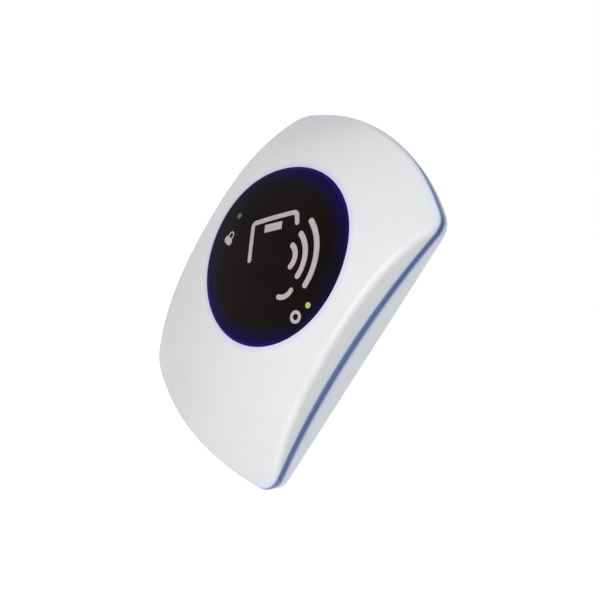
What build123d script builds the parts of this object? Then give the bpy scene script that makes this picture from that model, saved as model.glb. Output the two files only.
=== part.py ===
from build123d import *
import os
from math import cos, radians, sin, tan

# Wall-mounted card reader.
# The housing is modelled lying on its back: X across it, Y up its length, Z out of the wall.
# stand_up() turns every piece at the end, so the stored frame has +Z up and the front facing -Y,
# with the origin on the wall plane, midway between the two gang-box slots.
# All sizes are in millimetres.

# Housing outline, seen from the front
WIDTH = 76.5
CORNER_SPAN = 97.0        # height between the upper and the lower corners
TOP_BOW = 11.3            # how far the top edge bulges above its corners
BOTTOM_BOW = 5.6
CORNER_RADIUS = 7.5

# Arched front surface
DEPTH = 21.7              # wall plane to the highest point of the front
CROWN = 4.6               # rise of the front from its side edges to its middle
TOP_CORNER_FALL = 9.0     # extra fall of the front towards its corners
BOTTOM_CORNER_FALL = 3.4
CREST_Y = 7.0             # height of the highest point
TOP_EDGE_DEPTH = 6.5      # depth of the front at the middle of the top edge
BOTTOM_EDGE_DEPTH = 8.0
CREST_RADIUS = 200.0      # radius of the arch at its highest point
TOP_EDGE_SLOPE = 33.0     # degrees at which the front falls away at its top edge
BOTTOM_EDGE_SLOPE = 27.0
SIDE_LEAN = 2.6           # degrees that the cover's flanks lean inwards
LEAN_START = 6.0          # depth at which the leaning flank has the full width
EDGE_ROUND = 2.4          # rounding between the front and the flanks

# Walls
SIDE_WALL = 2.0
FRONT_WALL = 2.2
FLOOR = 1.8

# Arched parting line and the light guide in it
SEAM_END_DEPTH = 3.2
SEAM_CREST_DEPTH = 8.9
GUIDE_HEIGHT = 1.3
GUIDE_RECESS = 0.35       # how far the light guide lies below the flank
GUIDE_WIDTH = 2.2
GUIDE_LIP = 1.2           # height of its locating lip inside the cover
GUIDE_LIP_WALL = 0.8
SEAM_GAP = 0.3            # gap between the light guide and the base

# Rear base
BASE_INSET = 0.9          # how far the wall edge of the base is drawn in
BASE_LEAN = 3.2           # degrees that its flank opens towards the front
TONGUE_WALL = 1.0
TONGUE_RISE = 0.8         # how far the tongue stands above the middle of the seam
TAB_WIDTH = 14.0          # top locating tab
TAB_RISE = 2.4
HINGE_RADIUS = 0.55       # bead on the top rim, on which the front unit rocks
HINGE_LENGTH = 10.0
HINGE_INSET = 1.0         # top edge of the housing to the bead's axis
HINGE_DEPTH = 2.6         # wall plane to the bead's axis
HINGE_FIT = 0.08
FIT = 0.3                 # clearance between pieces of different bodies
SEAT = 0.05               # clearance between pieces fixed to each other

# Window
LENS_RADIUS = 27.9
LENS_THICKNESS = 1.35
LENS_Y = 11.5
HALO_WALL = 0.95
HALO_FLANGE = 1.7
HALO_FLANGE_THICKNESS = 0.6
TAPE_THICKNESS = 0.2
WINDOW_SEAT = 3.2         # width of the ledge behind the window
WINDOW_SEAT_WALL = 1.7
LENS_RECESS = 0.05        # depth of the lens below the front surface

# Circuit board and its screws
BOARD_ROOM = 3.1          # board edge to the tongue of the base
BOARD_HEIGHT = 70.0
BOARD_Y = 3.0
BOARD_BACK = 8.0          # wall plane to the back of the board
BOARD_THICKNESS = 1.6
BOARD_CORNER = 4.0
BOSS_MARGIN = 4.5         # board edge to screw centre
BOSS_RADIUS = 3.0
SCREW_RADIUS = 1.2
SCREW_LENGTH = 3.6        # length in the boss
SCREW_TIP_ROOM = 0.4
SCREW_HEAD_RADIUS = 2.2
SCREW_HEAD_HEIGHT = 1.5

# Parts on the front of the board
COIL_RADIUS = 18.8
COIL_WIDTH = 3.2
COIL_HEIGHT = 2.4
BOBBIN_WALL = 0.6
BUZZER_RADIUS = 6.0
BUZZER_ROOM = 1.1         # buzzer to the cover's ceiling
BUZZER_Y = -21.0
BUZZER_PORT_RADIUS = 1.0
BUZZER_EDGE = 0.4         # chamfer round its top
CAPACITOR_RADIUS = 3.1
CAPACITOR_ROOM = 0.9      # capacitor to the cover's ceiling
CAPACITOR_FOOT = 0.8      # height of its square foot
CAPACITOR_FOOT_MARGIN = 0.2
CAPACITOR_X = 20.0
CAPACITOR_Y = -20.0
LED_SIZE = (2.0, 1.25, 0.8)
PIPE_RADIUS = 0.9
PIPE_FOOT_RADIUS = 2.1
PIPE_FOOT_HEIGHT = 1.8
PIPE_FOOT_BORE = 1.45
PIPE_FOOT_ROOM = 1.2      # height of the hollow over the light
PIPE_PLACES = {"left": (2.85, 174.65), "right": (0.17, -9.33)}    # room to the window ledge, degrees round it

# Parts on the back of the board: x, y, then width, height, thickness
CONTROLLER = (12.0, 22.0, 9.0, 9.0, 1.4)
READER_CHIP = (-12.0, 24.0, 6.4, 5.2, 1.5)
CRYSTAL = (-1.0, 30.5, 4.6, 11.0, 2.2)
REGULATOR = (-22.0, 6.0, 3.6, 6.6, 1.7)
INDUCTOR = (-20.0, -8.0, 6.0, 6.0, 2.8)
INDUCTOR_CORNER = 1.0
CONNECTOR = (0.0, -26.0, 24.0, 5.8, 4.0)
CONNECTOR_WALL = 0.9
CONNECTOR_PITCH = 2.5
CONNECTOR_WAYS = 8
PIN_SIZE = 0.64
SEAM_LED_SIZE = (1.2, 3.0, 1.2)
SEAM_LED_STEP = 26.0

# Wall fixings and cable entry
GANG_SPACING = 83.3       # upright pair of slots
GANG_SLOT_LENGTH = 7.0
BOX_SPACING = 60.0        # level pair of slots
BOX_SLOT_LENGTH = 7.0
SLOT_WIDTH = 4.0
CABLE_Y = -13.0
CABLE_RADIUS = 4.0
GROMMET_WALL = 1.2
GROMMET_LIP = 1.1
GROMMET_LIP_HEIGHT = 1.2
RIB_WALL = 1.0
RIB_HEIGHT = 1.2
RIB_STEP = 12.0

# Tamper plunger
TAMPER_X = 20.0
TAMPER_Y = -20.0
PIN_RADIUS = 1.5
PIN_CLEARANCE = 0.1
PIN_REACH = 1.2           # how far it stands behind the wall plane when free
PIN_FLANGE_RADIUS = 2.5
PIN_FLANGE_HEIGHT = 0.5
STEM_RADIUS = 0.9
CAGE_WALL = 0.7
CAGE_TOP = 0.6
CAGE_ROOM = 1.9           # flange to cage top, plunger free
SPRING_WIRE = 0.25
SPRING_RADIUS = 1.55
SPRING_TURNS = 3
SWITCH_BODY = (5.2, 5.2, 1.0)
SWITCH_BUTTON_RADIUS = 1.3

# Lock screw at the bottom edge
LOCK_DEPTH = 5.9          # wall plane to the screw axis
LOCK_RADIUS = 1.25
LOCK_LENGTH = 4.4
LOCK_RECESS = 0.8         # how far its end lies inside the bottom edge, backed out
LOCK_SOCKET_RADIUS = 0.65
LOCK_SOCKET_DEPTH = 1.6
LOCK_FIT = 0.05
INSERT_WALL = 0.55
INSERT_LENGTH = 2.0
COLLAR_WALL = 0.7         # wall round the insert
LOCK_BOSS_WIDTH = 8.0
LOCK_BOSS_LENGTH = 5.2
LUG_WIDTH = 8.0
LUG_WALL = 3.4
LUG_GAP = 0.7             # boss to lug
LUG_BORE_CLEARANCE = 0.3

# Sizes that follow from the ones above
TOP_Y = CORNER_SPAN / 2 + TOP_BOW
BOTTOM_Y = -CORNER_SPAN / 2 - BOTTOM_BOW
HALO_RADIUS = LENS_RADIUS + SEAT + HALO_WALL
POCKET_RADIUS = HALO_RADIUS + SEAT
WINDOW_DEPTH = LENS_RECESS + LENS_THICKNESS + TAPE_THICKNESS + HALO_FLANGE_THICKNESS
SEAT_BORE = POCKET_RADIUS - WINDOW_SEAT
BOARD_FRONT = BOARD_BACK + BOARD_THICKNESS
BORE_MARGIN = 1.0         # how far a cut runs past the face it goes through
FRONT_MARGIN = 3.0        # how far the front surface runs past the outline before it is trimmed
FRONT_ROWS = 24           # points the front surface is fitted through
FRONT_COLUMNS = 8
SURFACE_FIT = 0.02        # how closely it is fitted
SEAM_MARGIN = 10.0        # how far the parting line's form runs past the outline
FRONT_FACING = 0.5        # least tilt towards +Z of a face that belongs to the front
TONGUE_INSET = SIDE_WALL + SEAT + GUIDE_LIP_WALL + FIT
BOARD_WIDTH = WIDTH - 2 * (TONGUE_INSET + TONGUE_WALL + BOARD_ROOM)
CAGE_Z = FLOOR + PIN_FLANGE_HEIGHT + CAGE_ROOM


def arch_half(upper):
    """Reach of one half of the arch, and how far it has dropped as terms in t^2, t^3 and t^4.

    t runs from 0 at the crest to 1 at the edge. The terms give the crest's radius there, and
    the edge's depth and slope.
    """
    if upper:
        reach = TOP_Y - CREST_Y
        drop = DEPTH - TOP_EDGE_DEPTH
        fall = reach * tan(radians(TOP_EDGE_SLOPE))
    else:
        reach = CREST_Y - BOTTOM_Y
        drop = DEPTH - BOTTOM_EDGE_DEPTH
        fall = reach * tan(radians(BOTTOM_EDGE_SLOPE))
    square = reach**2 / (2 * CREST_RADIUS)
    cube = 4 * drop - 2 * square - fall
    fourth = drop - square - cube
    return reach, square, cube, fourth


def front_depth(x, y):
    """Depth of the front surface at x, y."""
    reach, square, cube, fourth = arch_half(y > CREST_Y)
    corner_fall = TOP_CORNER_FALL if y > CREST_Y else BOTTOM_CORNER_FALL
    t = abs(y - CREST_Y) / reach
    side_fall = (CROWN + corner_fall * t**4) * (2 * x / WIDTH) ** 2
    return DEPTH - square * t**2 - cube * t**3 - fourth * t**4 - side_fall


def front_block():
    """Everything behind the arched and crowned front surface."""
    side = WIDTH / 2 + FRONT_MARGIN
    low = BOTTOM_Y - FRONT_MARGIN
    rise = (TOP_Y + FRONT_MARGIN - low) / FRONT_ROWS
    run = 2 * side / FRONT_COLUMNS
    net = []
    for row in range(FRONT_ROWS + 1):
        y = low + row * rise
        net.append([(column * run - side, y, front_depth(column * run - side, y))
                    for column in range(FRONT_COLUMNS + 1)])
    surface = Face.make_surface_from_array_of_points(net, tol=SURFACE_FIT, min_deg=3, max_deg=5)
    return extrude(surface, amount=2 * DEPTH, dir=(0, 0, -1))


FRONT = front_block()


def below_front(drop):
    """Everything more than drop below the front surface."""
    return Pos(0, 0, -drop) * FRONT


def below_seam(rise):
    """Everything between the wall and the parting line raised by rise.

    The line is an arc along the flanks and keeps one depth along the two bows.
    """
    low = BOTTOM_Y - SEAM_MARGIN
    high = TOP_Y + SEAM_MARGIN
    end = SEAM_END_DEPTH + rise
    corner = CORNER_SPAN / 2
    plane = Plane(origin=(-WIDTH, 0, 0), x_dir=(0, 1, 0), z_dir=(1, 0, 0))
    with BuildSketch(plane) as profile:
        with BuildLine():
            ThreePointArc((-corner, end), (0, SEAM_CREST_DEPTH + rise), (corner, end))
            Polyline(
                (corner, end), (high, end), (high, -SEAM_MARGIN), (low, -SEAM_MARGIN), (low, end), (-corner, end)
            )
        make_face()
    return extrude(profile.sketch, amount=2 * WIDTH)


def outline(inset):
    """Plan outline of the housing, drawn in from its edge by inset."""
    half = WIDTH / 2
    corner = CORNER_SPAN / 2
    with BuildSketch() as plan:
        with BuildLine():
            Line((half, -corner), (half, corner))
            ThreePointArc((half, corner), (0, TOP_Y), (-half, corner))
            Line((-half, corner), (-half, -corner))
            ThreePointArc((-half, -corner), (0, BOTTOM_Y), (half, -corner))
        make_face()
        fillet(plan.vertices(), CORNER_RADIUS)
    face = plan.sketch
    if inset != 0:
        face = offset(face, amount=-inset)
    return face


def leaning(inset, height):
    """Upright form that leans in like the flanks and has the outline's full width at LEAN_START."""
    return extrude(outline(inset - LEAN_START * tan(radians(SIDE_LEAN))), amount=height, taper=SIDE_LEAN)


def plan_wall(outer_inset, wall, height):
    """Wall that follows the plan outline and leans in like the cover's flanks."""
    return leaning(outer_inset, height) - leaning(outer_inset + wall, height)


def hull(inset, drop):
    """Solid housing form with sharp edges, drawn in by inset and lowered by drop."""
    return leaning(inset, DEPTH + BORE_MARGIN) & below_front(drop)


def rounded_hull():
    """Outer housing form, with the edge between front and flanks rounded."""
    body = hull(0, 0)
    fronts = body.faces().filter_by(lambda face: face.normal_at().Z > FRONT_FACING)
    rim = fronts.edges().filter_by(lambda edge: edge.bounding_box().size.Y > FRONT_MARGIN / 2)
    return fillet(rim, EDGE_ROUND)


def surface_disc(radius, near, far):
    """Round piece at the window that follows the front surface, between two drops below it."""
    column = Pos(0, LENS_Y, 0) * extrude(Circle(radius), amount=DEPTH + BORE_MARGIN)
    return (column & below_front(near)) - below_front(far)


def surface_ring(outer, inner, near, far):
    """Annular piece at the window that follows the front surface."""
    bore = Pos(0, LENS_Y, 0) * extrude(Circle(inner), amount=DEPTH + BORE_MARGIN)
    return surface_disc(outer, near, far) - bore


def cylinder(x, y, z, radius, height):
    """Upright cylinder standing on height z."""
    return Pos(x, y, z) * extrude(Circle(radius), amount=height)


def block(x, y, z, width, length, height, corner=0.0):
    """Upright block centred on x, y and standing on height z."""
    shape = Rectangle(width, length)
    if corner > 0:
        shape = RectangleRounded(width, length, corner)
    return Pos(x, y, z) * extrude(shape, amount=height)


def boss_places():
    """Centres of the four board screws."""
    x = BOARD_WIDTH / 2 - BOSS_MARGIN
    y = BOARD_HEIGHT / 2 - BOSS_MARGIN
    return [(sx * x, BOARD_Y + sy * y) for sx in (-1, 1) for sy in (-1, 1)]


def pipe_place(side):
    """Centre of one status light on the front."""
    room, angle = PIPE_PLACES[side]
    reach = SEAT_BORE - PIPE_RADIUS - room
    return reach * cos(radians(angle)), LENS_Y + reach * sin(radians(angle))


def front_cover():
    """Arched shell with its window seat, board bosses and lock boss."""
    cover = rounded_hull() - hull(SIDE_WALL, FRONT_WALL) - below_seam(GUIDE_HEIGHT / 2)
    ledge = surface_ring(
        POCKET_RADIUS + SIDE_WALL, SEAT_BORE, WINDOW_DEPTH - SEAT, WINDOW_DEPTH + WINDOW_SEAT_WALL
    )
    cover = cover + ledge
    for x, y in boss_places():
        cover = cover + (cylinder(x, y, BOARD_FRONT, BOSS_RADIUS, DEPTH) & below_front(FRONT_WALL / 2))
    boss_length = LOCK_BOSS_LENGTH - SIDE_WALL / 2
    lock_boss = block(0, boss_end() - boss_length / 2, 0, LOCK_BOSS_WIDTH, boss_length, DEPTH)
    lock_boss = (lock_boss & below_front(FRONT_WALL / 2)) - below_seam(GUIDE_HEIGHT / 2)
    insert_start = LOCK_BOSS_LENGTH - INSERT_LENGTH
    insert_radius = LOCK_RADIUS + LOCK_FIT + INSERT_WALL
    cover = cover + lock_boss + lock_cylinder(insert_radius + COLLAR_WALL, insert_start, LOCK_BOSS_LENGTH)
    cover = cover - surface_disc(POCKET_RADIUS, -BORE_MARGIN, WINDOW_DEPTH)
    cover = cover - cylinder(0, LENS_Y, 0, SEAT_BORE, DEPTH)
    for x, y in boss_places():
        cover = cover - cylinder(x, y, 0, SCREW_RADIUS + SEAT, BOARD_FRONT + SCREW_LENGTH + SCREW_TIP_ROOM)
    cover = cover - lock_cylinder(LOCK_RADIUS + LOCK_FIT, 0, LOCK_BOSS_LENGTH + BORE_MARGIN)
    return cover - lock_cylinder(insert_radius, insert_start, LOCK_BOSS_LENGTH)


def boss_end():
    """Upper face of the lock boss."""
    return BOTTOM_Y + LOCK_BOSS_LENGTH


def lock_cylinder(radius, start, end):
    """Cylinder on the lock screw's axis, between two distances above the bottom edge."""
    plane = Plane(origin=(0, BOTTOM_Y + start, LOCK_DEPTH), x_dir=(1, 0, 0), z_dir=(0, 1, 0))
    return extrude(plane * Circle(radius), amount=end - start)


def hinge_cylinder(radius, length):
    """Cylinder on the axis about which the front unit swings."""
    plane = Plane(origin=(-length / 2, TOP_Y - HINGE_INSET, HINGE_DEPTH), x_dir=(0, 1, 0), z_dir=(1, 0, 0))
    return extrude(plane * Circle(radius), amount=length)


def seam_light_guide():
    """Closed ring that fills the parting line, with a lip that locates it inside the cover."""
    band = plan_wall(GUIDE_RECESS, GUIDE_WIDTH, DEPTH)
    band = (band & below_seam(GUIDE_HEIGHT / 2)) - below_seam(-GUIDE_HEIGHT / 2)
    lip = plan_wall(SIDE_WALL + SEAT, GUIDE_LIP_WALL, DEPTH)
    lip = (lip & below_seam(GUIDE_HEIGHT / 2 + GUIDE_LIP)) - below_seam(-GUIDE_HEIGHT / 2)
    lip = lip & below_front(FRONT_WALL + SEAT)
    lip = lip - (lock_notch(SEAT) - below_seam(GUIDE_HEIGHT / 2))
    return band + lip - hinge_cylinder(HINGE_RADIUS + HINGE_FIT, HINGE_LENGTH + 2 * FIT)


def lock_notch(clearance):
    """Room for the lock boss at the bottom of the ring and of the tongue."""
    length = 2 * LOCK_BOSS_LENGTH
    return block(0, BOTTOM_Y + length / 2, 0, LOCK_BOSS_WIDTH + 2 * clearance, length, DEPTH)


def lens_disc():
    """Black window that follows the double curve of the front."""
    return surface_disc(LENS_RADIUS, LENS_RECESS, LENS_RECESS + LENS_THICKNESS)


def lens_tape():
    """Adhesive ring between the window and the halo's flange."""
    near = LENS_RECESS + LENS_THICKNESS
    inner = LENS_RADIUS - HALO_FLANGE + 2 * SEAT
    return surface_ring(LENS_RADIUS - 2 * SEAT, inner, near, near + TAPE_THICKNESS)


def halo_ring():
    """Coloured ring round the window, with the flange that carries the window."""
    rim = surface_ring(HALO_RADIUS, LENS_RADIUS + SEAT, 0, WINDOW_DEPTH)
    near = WINDOW_DEPTH - HALO_FLANGE_THICKNESS
    return rim + surface_ring(LENS_RADIUS + 2 * SEAT, LENS_RADIUS - HALO_FLANGE, near, WINDOW_DEPTH)


def rear_base():
    """Wall base: leaning flank, floor, tongue, fixing slots, tamper bore and lock lug."""
    height = SEAM_CREST_DEPTH + BORE_MARGIN
    body = extrude(outline(BASE_INSET), amount=height, taper=-BASE_LEAN)
    body = body & below_seam(-GUIDE_HEIGHT / 2 - SEAM_GAP)
    room = outline(TONGUE_INSET + TONGUE_WALL)
    body = body - Pos(0, 0, FLOOR) * extrude(room, amount=height)
    tongue = plan_wall(TONGUE_INSET, TONGUE_WALL, height + TONGUE_RISE) & below_seam(TONGUE_RISE)
    tongue = tongue & below_front(FRONT_WALL + FIT)
    tongue = tongue - (lock_notch(FIT) - below_seam(-GUIDE_HEIGHT / 2 - SEAM_GAP))
    body = body + tongue + base_ribs() + top_tab() + lock_lug()
    body = body + hinge_cylinder(HINGE_RADIUS, HINGE_LENGTH)
    for x, y, turn, length in slot_places():
        slot = Pos(x, y, -BORE_MARGIN) * Rot(0, 0, turn) * extrude(
            SlotOverall(length, SLOT_WIDTH), amount=FLOOR + RIB_HEIGHT + 2 * BORE_MARGIN
        )
        body = body - slot
    cable_hole = cylinder(
        0, CABLE_Y, -BORE_MARGIN, CABLE_RADIUS + GROMMET_WALL, FLOOR + RIB_HEIGHT + 2 * BORE_MARGIN
    )
    body = body - cable_hole
    pin_hole = cylinder(
        TAMPER_X, TAMPER_Y, -BORE_MARGIN, PIN_RADIUS + PIN_CLEARANCE, FLOOR + RIB_HEIGHT + 2 * BORE_MARGIN
    )
    return body - pin_hole


def slot_places():
    """Centre, turn and length of each wall slot."""
    upright = [(0, sign * GANG_SPACING / 2, 90, GANG_SLOT_LENGTH) for sign in (-1, 1)]
    level = [(sign * BOX_SPACING / 2, 0, 0, BOX_SLOT_LENGTH) for sign in (-1, 1)]
    return upright + level


def base_ribs():
    """Low stiffening ribs on the floor, clear of the slots, the cable entry and the plunger."""
    ribs = extrude(outline(TONGUE_INSET + TONGUE_WALL / 2), amount=FLOOR + RIB_HEIGHT)
    lines = []
    for i in (-2, -1, 1, 2):
        lines.append(block(i * RIB_STEP, 0, 0, RIB_WALL, 2 * TOP_Y, DEPTH))
    for y in (GANG_SPACING / 2 - RIB_STEP, RIB_STEP, -GANG_SPACING / 2 + RIB_STEP):
        lines.append(block(0, y, 0, WIDTH, RIB_WALL, DEPTH))
    grid = lines[0]
    for line in lines[1:]:
        grid = grid + line
    keep = grid & ribs
    cage_radius = PIN_FLANGE_RADIUS + FIT + CAGE_WALL + FIT
    keep = keep - cylinder(TAMPER_X, TAMPER_Y, 0, cage_radius, DEPTH)
    keep = keep - cylinder(0, CABLE_Y, 0, CABLE_RADIUS + GROMMET_WALL + GROMMET_LIP + FIT, DEPTH)
    for x, y, turn, length in slot_places():
        pad = SlotOverall(length + 2 * SLOT_WIDTH, 3 * SLOT_WIDTH)
        keep = keep - Pos(x, y, 0) * Rot(0, 0, turn) * extrude(pad, amount=DEPTH)
    return keep


def top_tab():
    """Raised stretch of the tongue that locates the cover's top edge."""
    tab = plan_wall(TONGUE_INSET, TONGUE_WALL, DEPTH) & below_seam(TONGUE_RISE + TAB_RISE)
    tab = tab & below_front(FRONT_WALL + 2 * FIT)
    return tab & block(0, TOP_Y, 0, TAB_WIDTH, 4 * TONGUE_WALL + 2 * TONGUE_INSET, DEPTH)


def lug_face():
    """Lower face of the lock lug."""
    return boss_end() + LUG_GAP


def lock_lug():
    """Lug on the floor that takes the tip of the lock screw."""
    top = LOCK_DEPTH + LOCK_RADIUS + LUG_BORE_CLEARANCE + FIT + TONGUE_WALL
    lug = block(0, lug_face() + LUG_WALL / 2, 0, LUG_WIDTH, LUG_WALL, top)
    lug = fillet(lug.edges().filter_by(Axis.Y).sort_by(Axis.Z)[-2:], LUG_WIDTH / 4)
    lug = lug & below_front(FRONT_WALL + FIT)
    return lug - lock_cylinder(LOCK_RADIUS + LUG_BORE_CLEARANCE, 0, CORNER_SPAN / 4)


def cable_grommet():
    """Rubber bush in the cable hole, with a lip on the inside of the floor."""
    outer = CABLE_RADIUS + GROMMET_WALL - SEAT
    bush = cylinder(0, CABLE_Y, 0, outer, FLOOR + GROMMET_LIP_HEIGHT)
    lip = cylinder(0, CABLE_Y, FLOOR, outer + GROMMET_LIP, GROMMET_LIP_HEIGHT)
    lip = chamfer(lip.edges().sort_by(Axis.Z)[-1], GROMMET_LIP_HEIGHT / 2)
    return bush + lip - cylinder(0, CABLE_Y, -BORE_MARGIN, CABLE_RADIUS, DEPTH)


def tamper_pin():
    """Plunger that the wall presses: shank, retaining flange and stem."""
    shank = cylinder(TAMPER_X, TAMPER_Y, -PIN_REACH, PIN_RADIUS, PIN_REACH + FLOOR)
    shank = chamfer(shank.edges().sort_by(Axis.Z)[0], PIN_RADIUS / 3)
    flange = cylinder(TAMPER_X, TAMPER_Y, FLOOR, PIN_FLANGE_RADIUS, PIN_FLANGE_HEIGHT)
    stem_top = CAGE_Z + CAGE_TOP + SEAT
    foot = FLOOR + PIN_FLANGE_HEIGHT
    return shank + flange + cylinder(TAMPER_X, TAMPER_Y, foot, STEM_RADIUS, stem_top - foot)


def tamper_cage():
    """Cup over the plunger that backs its spring."""
    inner = PIN_FLANGE_RADIUS + FIT
    cup = cylinder(TAMPER_X, TAMPER_Y, FLOOR, inner + CAGE_WALL, CAGE_Z + CAGE_TOP - FLOOR)
    cup = chamfer(cup.edges().sort_by(Axis.Z)[-1], CAGE_TOP / 2)
    cup = cup - cylinder(TAMPER_X, TAMPER_Y, FLOOR, inner, CAGE_Z - FLOOR)
    return cup - cylinder(TAMPER_X, TAMPER_Y, FLOOR, STEM_RADIUS + PIN_CLEARANCE, DEPTH)


def tamper_spring():
    """Return spring of square wire between the plunger's flange and the top of the cage."""
    foot = FLOOR + PIN_FLANGE_HEIGHT + SPRING_WIRE / 2
    length = CAGE_ROOM - SPRING_WIRE
    path = Helix(pitch=length / SPRING_TURNS, height=length, radius=SPRING_RADIUS)
    start = Plane(origin=path @ 0, z_dir=path % 0)
    coil = sweep(start * Rectangle(SPRING_WIRE, SPRING_WIRE), path=path, is_frenet=True)
    return Pos(TAMPER_X, TAMPER_Y, foot) * coil


def tamper_switch():
    """Flat switch on the back of the board, in line with the plunger."""
    width, length, height = SWITCH_BODY
    button = BOARD_BACK - (CAGE_Z + CAGE_TOP + SEAT + PIN_REACH + SEAT)
    body = block(TAMPER_X, TAMPER_Y, BOARD_BACK - height, width, length, height)
    body = chamfer(body.edges().filter_by(Axis.Z), height / 2)
    return body + cylinder(TAMPER_X, TAMPER_Y, BOARD_BACK - button, SWITCH_BUTTON_RADIUS, button)


def circuit_board():
    """Board with its four screw holes."""
    board = block(0, BOARD_Y, BOARD_BACK, BOARD_WIDTH, BOARD_HEIGHT, BOARD_THICKNESS, BOARD_CORNER)
    for x, y in boss_places():
        board = board - cylinder(x, y, 0, SCREW_RADIUS + FIT / 2, DEPTH)
    return board


def board_screws():
    """Four pan-head screws, put in from the back of the board."""
    screws = []
    for x, y in boss_places():
        head = cylinder(x, y, BOARD_BACK - SCREW_HEAD_HEIGHT, SCREW_HEAD_RADIUS, SCREW_HEAD_HEIGHT)
        head = chamfer(head.edges().sort_by(Axis.Z)[0], SCREW_HEAD_HEIGHT / 3)
        screws.append(head + cylinder(x, y, BOARD_BACK, SCREW_RADIUS, BOARD_THICKNESS + SCREW_LENGTH))
    return Compound(children=screws)


def coil_bobbin():
    """Flanged ring that carries the antenna winding."""
    inner = COIL_RADIUS - COIL_WIDTH - BOBBIN_WALL
    height = COIL_HEIGHT + 2 * BOBBIN_WALL
    ring = cylinder(0, LENS_Y, BOARD_FRONT, COIL_RADIUS + BOBBIN_WALL, height)
    groove = cylinder(0, LENS_Y, BOARD_FRONT + BOBBIN_WALL, COIL_RADIUS + COIL_WIDTH, COIL_HEIGHT)
    groove = groove - cylinder(0, LENS_Y, BOARD_FRONT, COIL_RADIUS - COIL_WIDTH, height)
    return ring - groove - cylinder(0, LENS_Y, BOARD_FRONT, inner, height)


def antenna_coil():
    """Winding in the bobbin's groove."""
    foot = BOARD_FRONT + BOBBIN_WALL
    coil = cylinder(0, LENS_Y, foot, COIL_RADIUS, COIL_HEIGHT)
    return coil - cylinder(0, LENS_Y, foot, COIL_RADIUS - COIL_WIDTH, COIL_HEIGHT)


def ceiling(x, y):
    """Room between the front of the board and the inside of the cover at x, y."""
    return front_depth(x, y) - FRONT_WALL - BOARD_FRONT


def buzzer():
    """Sounder with its port."""
    height = ceiling(0, BUZZER_Y - BUZZER_RADIUS) - BUZZER_ROOM
    body = cylinder(0, BUZZER_Y, BOARD_FRONT, BUZZER_RADIUS, height)
    body = chamfer(body.edges().sort_by(Axis.Z)[-1], BUZZER_EDGE)
    return body - cylinder(0, BUZZER_Y, BOARD_FRONT + height / 2, BUZZER_PORT_RADIUS, height)


def filter_capacitor():
    """Electrolytic capacitor with its square foot."""
    side = 2 * (CAPACITOR_RADIUS + CAPACITOR_FOOT_MARGIN)
    base = block(CAPACITOR_X, CAPACITOR_Y, BOARD_FRONT, side, side, CAPACITOR_FOOT)
    height = ceiling(CAPACITOR_X + CAPACITOR_RADIUS, CAPACITOR_Y - CAPACITOR_RADIUS) - CAPACITOR_ROOM
    can = cylinder(CAPACITOR_X, CAPACITOR_Y, BOARD_FRONT, CAPACITOR_RADIUS, height)
    return base + chamfer(can.edges().sort_by(Axis.Z)[-1], CAPACITOR_RADIUS / 8)


def back_part(spec, corner=0.0):
    """Box-shaped part on the back of the board."""
    x, y, width, length, height = spec
    return block(x, y, BOARD_BACK - height, width, length, height, corner)


def wire_connector():
    """Open-topped header that takes the wiring plug."""
    x, y, width, length, height = CONNECTOR
    room = block(
        x, y, BOARD_BACK - height, width - 2 * CONNECTOR_WALL, length - 2 * CONNECTOR_WALL,
        height - CONNECTOR_WALL,
    )
    shell = back_part(CONNECTOR) - room
    key = block(x, y + length / 2, BOARD_BACK - height, width / 3, 2 * CONNECTOR_WALL, height - CONNECTOR_WALL)
    shell = shell - key
    for pin_x in pin_places():
        shell = shell - block(pin_x, y, 0, PIN_SIZE, PIN_SIZE, BOARD_BACK)
    return shell


def pin_places():
    """Where the connector's pins stand along its length."""
    return [CONNECTOR[0] + CONNECTOR_PITCH * (i - (CONNECTOR_WAYS - 1) / 2) for i in range(CONNECTOR_WAYS)]


def connector_pins():
    """Square pins of the header."""
    reach = CONNECTOR[4] - CONNECTOR_WALL / 2
    pins = [block(x, CONNECTOR[1], BOARD_BACK - reach, PIN_SIZE, PIN_SIZE, reach) for x in pin_places()]
    return Compound(children=pins)


def status_led(side):
    """Small status light under one light pipe."""
    x, y = pipe_place(side)
    return block(x, y, BOARD_FRONT, *LED_SIZE)


def light_pipe(side):
    """Clear rod from a status light to the back of the window, on a foot that straddles the light."""
    x, y = pipe_place(side)
    foot = cylinder(x, y, BOARD_FRONT, PIPE_FOOT_RADIUS, PIPE_FOOT_HEIGHT)
    foot = foot - cylinder(x, y, BOARD_FRONT, PIPE_FOOT_BORE, PIPE_FOOT_ROOM)
    rod = cylinder(x, y, BOARD_FRONT + PIPE_FOOT_HEIGHT - SEAT, PIPE_RADIUS, DEPTH)
    return foot + (rod & below_front(LENS_RECESS + LENS_THICKNESS + SEAT))


def seam_led_places():
    """Side-facing lights along both long edges of the board."""
    x = BOARD_WIDTH / 2 - SEAM_LED_SIZE[0] / 2
    rows = [BOARD_Y + SEAM_LED_STEP * i for i in (-0.5, 0.5)]
    return [(sign * x, y) for sign in (-1, 1) for y in rows]


def seam_led(x, y):
    """One side-facing light for the light guide, level with its lip."""
    return block(x, y, BOARD_FRONT, *SEAM_LED_SIZE)


def lock_insert():
    """Threaded brass insert in the lock boss."""
    start = LOCK_BOSS_LENGTH - INSERT_LENGTH
    outer = lock_cylinder(LOCK_RADIUS + LOCK_FIT + INSERT_WALL, start, LOCK_BOSS_LENGTH)
    return outer - lock_cylinder(LOCK_RADIUS + LOCK_FIT, start, LOCK_BOSS_LENGTH)


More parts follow.
